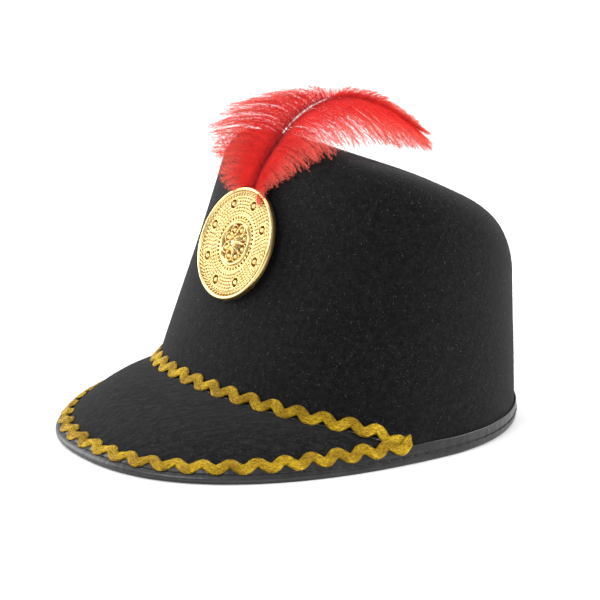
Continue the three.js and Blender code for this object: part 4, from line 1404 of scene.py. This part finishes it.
@dataclass
class Plume:
    """The ostrich feather: a quill that arches back, and barbs with barbules on both sides."""

    form: HatForm
    quill_radius: float = 0.52
    tip_radius: float = 0.15
    root_height: float = 117.0
    root_x: float = -3.0
    foot_drop: float = 14.0
    turn: float = math.radians(20)
    quill_offset: float = 2.2
    barbs: int = 500
    barb_steps: int = 22
    barb_radius: float = 0.11
    barbule_pitch: float = 0.4
    barbule_length: float = 2.1
    barbule_half_width: float = 0.095
    lock_size: int = 6
    seed: int = 11

    def seat(self, height: float) -> Array:
        """Where the quill lies on the wall, at a height."""
        on_wall = self.form.front_wall(height) + self.form.wall_out * self.quill_offset
        return on_wall + np.array([self.root_x, 0.0, 0.0])

    def arc(self) -> tuple[Array, Array]:
        """The quill's arch: a smooth curve through points given as ways back and up.

        Each coordinate is read from a cubic between neighbouring points, whose slopes are those
        of the line through the points on either side.

        Returns:
            Fine points along it, evenly spaced, and their directions.
        """
        back_up = np.array(ARCH)
        knots = walk(back_up)
        slopes = np.gradient(back_up, knots, axis=0)
        where = np.linspace(0, knots[-1], 1200)
        i = np.clip(np.searchsorted(knots, where, side="right") - 1, 0, len(knots) - 2)
        gap = (knots[i + 1] - knots[i])[:, None]
        t = ((where - knots[i]) / gap[:, 0])[:, None]
        curve = (
            (1 + 2 * t) * (1 - t) ** 2 * back_up[i] + t * (1 - t) ** 2 * gap * slopes[i]
            + t * t * (3 - 2 * t) * back_up[i + 1] + t * t * (t - 1) * gap * slopes[i + 1]
        )
        back = np.array([math.sin(self.turn), math.cos(self.turn), 0.0])
        line = self.seat(self.root_height) + curve[:, :1] * back + curve[:, 1:] * np.array([0.0, 0.0, 1.0])
        walked = walk(line)
        line = read(np.linspace(0, walked[-1], 600), walked, line)
        return line, unit(np.gradient(line, axis=0))

    def build(self) -> None:
        """Makes the quill and the barbs of both sides."""
        line, direction = self.arc()
        foot = self.seat(self.root_height - self.foot_drop)
        stem = mix(foot[None, :], line[:1], np.linspace(0, 1, 12)[:-1, None])
        path = np.concatenate([stem, line[::5]])
        part = np.linspace(0, 1, len(path))
        taper = mix(self.quill_radius, self.tip_radius, smooth(part, 0.1, 0.6))
        radius = taper * (1 + 0.04 * np.sin(part * 90))
        level = np.array([math.cos(self.turn), -math.sin(self.turn), 0.0])
        quill = tubes(path[None], radius[None], level, 14)
        quill.build("dyed_quill", QuillFinish(), Slot.QUILL, "plume_quill")
        red = BarbFinish().material()
        rng = np.random.default_rng(self.seed)
        for name, table in (("front_barbs", FRONT_BARBS), ("rear_barbs", REAR_BARBS)):
            self.vane(line, direction, table, rng).build(name, red, Slot.BARBS, "plume_" + name)

    def vane(self, line: Array, direction: Array, table: BarbTable, rng: np.random.Generator) -> Surface:
        """One side's barbs and their barbules.

        A barb is a quadratic curve from the quill to its tip, moved by a wave that grows towards
        the tip, by its place in the vane's thickness, and by a pull towards its lock's middle.

        Args:
            line: Even points of the arc.
            direction: Their directions.
            table: The side's reaches.
            rng: The source of chance.

        Returns:
            The side as one surface with the facts "along" and "tone".
        """
        count, steps = self.barbs, self.barb_steps
        part = np.clip(np.linspace(table.rows[0][0], 0.992, count) + rng.normal(0, 0.0012, count), 0, 1)
        at = part * (len(line) - 1)
        root = read(at, np.arange(len(line)), line)
        along = unit(read(at, np.arange(len(line)), direction))
        reach = table.reach(part) * rng.uniform(0.78, 1.08, (count, 1))
        reach = reach + rng.normal(0, 0.035, (count, 3)) * np.linalg.norm(reach, axis=-1, keepdims=True)
        size = np.linalg.norm(reach, axis=-1, keepdims=True)
        square = unit(reach - along * (reach * along).sum(-1, keepdims=True))
        start = root + square * self.quill_radius * mix(0.7, 0.1, part)[:, None]
        first = unit(reach / size + 0.7 * along)
        t = np.linspace(0, 1, steps + 1)
        path = bezier(start, start + first * size * 0.45, start + reach, t)
        away = unit(np.cross(along, reach)) * table.side
        beside = unit(np.cross(reach, away))
        fullness = np.minimum(1, 0.35 + part * 2.5) * mix(1.0, 0.35, part)
        thick = fullness[:, None] * mix(3.0, 1.3, t[None, :])
        layer = rng.uniform(-0.45, 0.6, (count, 1)) * thick * smooth(t, 0, 0.25)[None, :]
        path = path + away[:, None] * layer[..., None]
        drift = np.cumsum(rng.normal(0, 0.35, (count, 1)), 0)
        wave_length = rng.uniform(9, 15, (count, 1))
        walked = t[None, :] * size
        growth = smooth(t, 0.1, 1.0)[None, :]
        sway = rng.uniform(0.25, 0.8, (count, 1)) * np.sin(2 * np.pi * walked / wave_length + drift) * growth
        path = path + beside[:, None] * sway[..., None]
        path = path + away[:, None] * (0.5 * sway * np.cos(drift))[..., None]
        lock = np.floor(np.arange(count) / self.lock_size + 0.35 * np.sin(np.arange(count))).astype(int)
        members = np.maximum(np.bincount(lock), 1)
        tips = np.stack([np.bincount(lock, column) / members for column in path[:, -1].T], -1)[lock]
        pull = (tips - path[:, -1]) * rng.uniform(0.05, 0.4, (count, 1))
        path = path + pull[:, None] * (t**2)[None, :, None]
        radius = self.barb_radius * mix(1.25, 0.4, t[None, :] ** 1.2)
        shafts = tubes(path, radius, away[:, None], 3)
        tone = rng.random(count)
        shafts.facts["tone"] = np.repeat(tone, (steps + 1) * 3)
        return joined([shafts, self.barbules(path, away, tone, part, rng)])

    def barbules(
        self, path: Array, away: Array, tone: Array, part: Array, rng: np.random.Generator
    ) -> Surface:
        """The fine side hairs of the barbs: slivers that lean towards the barb's tip.

        Args:
            path: The barbs' centre lines.
            away: The way through the vane at each barb.
            tone: Each barb's tone.
            part: Each barb's place on the arc.
            rng: The source of chance.

        Returns:
            All barbules as one surface of single triangles.
        """
        steps = path.shape[1] - 1
        length = walk(path)[:, -1]
        number = np.maximum((2 * length / self.barbule_pitch).astype(int), 4)
        owner = np.repeat(np.arange(len(path)), number)
        spot = rng.uniform(0.03, 0.985, len(owner))
        cell = np.floor(spot * steps).astype(int)
        t = (spot * steps - cell)[:, None]
        a, b = path[owner, cell], path[owner, cell + 1]
        base = mix(a, b, t)
        forward = unit(b - a)
        across = unit(np.cross(forward, away[owner]))
        side = np.where(rng.random(len(owner)) < 0.5, 1.0, -1.0)[:, None]
        lean = rng.uniform(0.55, 1.25, (len(owner), 1))
        way = unit(forward * lean + across * side * 0.8 + away[owner] * rng.normal(0, 0.5, (len(owner), 1)))
        fluff = 1 + 1.1 * np.exp(-((part[owner] / 0.14) ** 2))
        size = self.barbule_length * fluff * mix(1.0, 0.45, spot) * rng.uniform(0.55, 1.15, len(owner))
        width = forward * self.barbule_half_width
        points = np.stack([base - width, base + width, base + way * size[:, None]], 1)
        faces = np.arange(3 * len(owner)).reshape(-1, 3)
        facts = {"along": np.repeat(np.clip(spot + 0.08, 0, 1), 3), "tone": np.repeat(tone[owner], 3)}
        return Surface(points.reshape(-1, 3), [faces], np.zeros((3 * len(owner), 2)), facts)


# ---- The studio ----


@dataclass(frozen=True)
class Lamp:
    """A soft light: its place to the camera's right, back towards it and up, in metres, and its watts."""

    name: str
    right: float
    back: float
    up: float
    size: float
    power: float


LAMPS = (
    Lamp("key", -0.75, 0.85, 1.05, 0.7, 11.0),
    Lamp("side", 1.15, -0.15, 0.65, 0.6, 16.0),
    Lamp("rim", -1.1, -0.45, 0.45, 1.0, 14.0),
    Lamp("crown", -0.1, -0.6, 1.3, 0.9, 11.0),
)


@dataclass
class Studio:
    """The floor, the soft lights and the camera."""

    turn: float = math.radians(54.6)
    elevation: float = math.radians(15.5)
    distance: float = 1500.0
    scale: float = 2.0
    shift_right: float = -12.6
    shift_up: float = 54.0
    sensor: float = 36.0
    picture_width: int = 600
    aim_height: float = 0.08
    sky_strength: float = 0.5
    floor_sides: int = 96
    floor_radii: tuple[float, ...] = (0.05, 0.5, 2.0, 8.0, 25.0)
    floor_drop: float = 0.02

    def axes(self) -> tuple[Array, Array, Array]:
        """The camera's right, up and back."""
        sin_a, cos_a = math.sin(self.turn), math.cos(self.turn)
        sin_e, cos_e = math.sin(self.elevation), math.cos(self.elevation)
        right = np.array([cos_a, sin_a, 0.0])
        back = np.array([sin_a * cos_e, -cos_a * cos_e, sin_e])
        return right, np.cross(back, right), back

    def build(self) -> None:
        """Sets the floor, lights, sky and camera."""
        self.floor()
        right, up, back = self.axes()
        level_back = unit(np.array([back[0], back[1], 0.0]))
        for lamp in LAMPS:
            place = lamp.right * right + lamp.back * level_back + lamp.up * np.array([0.0, 0.0, 1.0])
            self.light(lamp, place)
        self.sky()
        self.camera(right, up, back)

    def floor(self) -> None:
        """A wide level disc: rings of points round the middle."""
        sides = self.floor_sides
        turn = 2 * np.pi * np.arange(sides) / sides
        radii = np.array(self.floor_radii)[:, None] / MM
        rings = np.broadcast_arrays(radii * np.cos(turn), radii * np.sin(turn), -self.floor_drop)
        points = np.stack(rings, -1).reshape(-1, 3)
        mesh = bpy.data.meshes.new("studio_floor")
        quads = grid_faces(len(radii), sides, close_columns=True)[:, ::-1]
        faces = quads.tolist() + [list(range(sides))]
        mesh.from_pydata((points * MM).tolist(), [], faces)
        mesh.materials.append(FloorFinish().material())
        floor = bpy.data.objects.new("studio_floor", mesh)
        bpy.context.scene.collection.objects.link(floor)

    def light(self, lamp: Lamp, place: Array) -> None:
        """A square soft light, in metres, aimed at the hat's middle."""
        made = bpy.data.lights.new(lamp.name, "AREA")
        made.size = lamp.size
        made.energy = lamp.power
        holder = bpy.data.objects.new(lamp.name, made)
        self.aim(holder, place, unit(place - np.array([0.0, 0.0, self.aim_height])))
        bpy.context.scene.collection.objects.link(holder)

    def aim(self, holder: bpy.types.Object, place: Array, z: Array) -> None:
        """Puts a lamp or camera in place, with its back towards z."""
        x = unit(np.cross([0.0, 0.0, 1.0], z))
        y = np.cross(z, x)
        matrix = np.eye(4)
        matrix[:3] = np.stack([x, y, z, place], 1)
        holder.matrix_world = Matrix(matrix.tolist())

    def sky(self) -> None:
        """A plain pale surround."""
        world = bpy.data.worlds.new("studio")
        world.use_nodes = True
        background = world.node_tree.nodes["Background"]
        background.inputs["Color"].default_value = colour(1.0, 1.0, 1.0)
        background.inputs["Strength"].default_value = self.sky_strength
        bpy.context.scene.world = world

    def camera(self, right: Array, up: Array, back: Array) -> None:
        """A long lens at the product's height, with the whole hat in view."""
        lens = bpy.data.cameras.new("camera")
        lens.sensor_width = self.sensor
        lens.lens = self.scale * self.distance / self.picture_width * self.sensor
        lens.clip_start, lens.clip_end = 0.05, 100.0
        holder = bpy.data.objects.new("camera", lens)
        target = right * self.shift_right + up * self.shift_up + np.array([0.0, HatForm().widest_y, 0.0])
        self.aim(holder, (target + back * self.distance) * MM, back)
        bpy.context.scene.collection.objects.link(holder)
        bpy.context.scene.camera = holder
        bpy.context.scene.view_settings.view_transform = "Standard"


def main() -> None:
    """Builds the hat, piece by piece, and then the studio."""
    logging.basicConfig(level=logging.INFO, format="%(name)s %(message)s")
    form = HatForm()
    FeltHat(form).build()
    Binding(form).build()
    gold = BraidFinish().material()
    crease = Rickrack(form, BraidLine.CREASE, math.radians(12), "crease_braid", "crease_rickrack")
    crease.build(gold)
    crease.glue()
    Rickrack(form, BraidLine.PEAK, math.radians(9), "peak_braid", "peak_rickrack", end_lift=1.0).build(gold)
    Medallion(form).build()
    Plume(form).build()
    Studio().build()


if __name__ == "__main__":
    main()
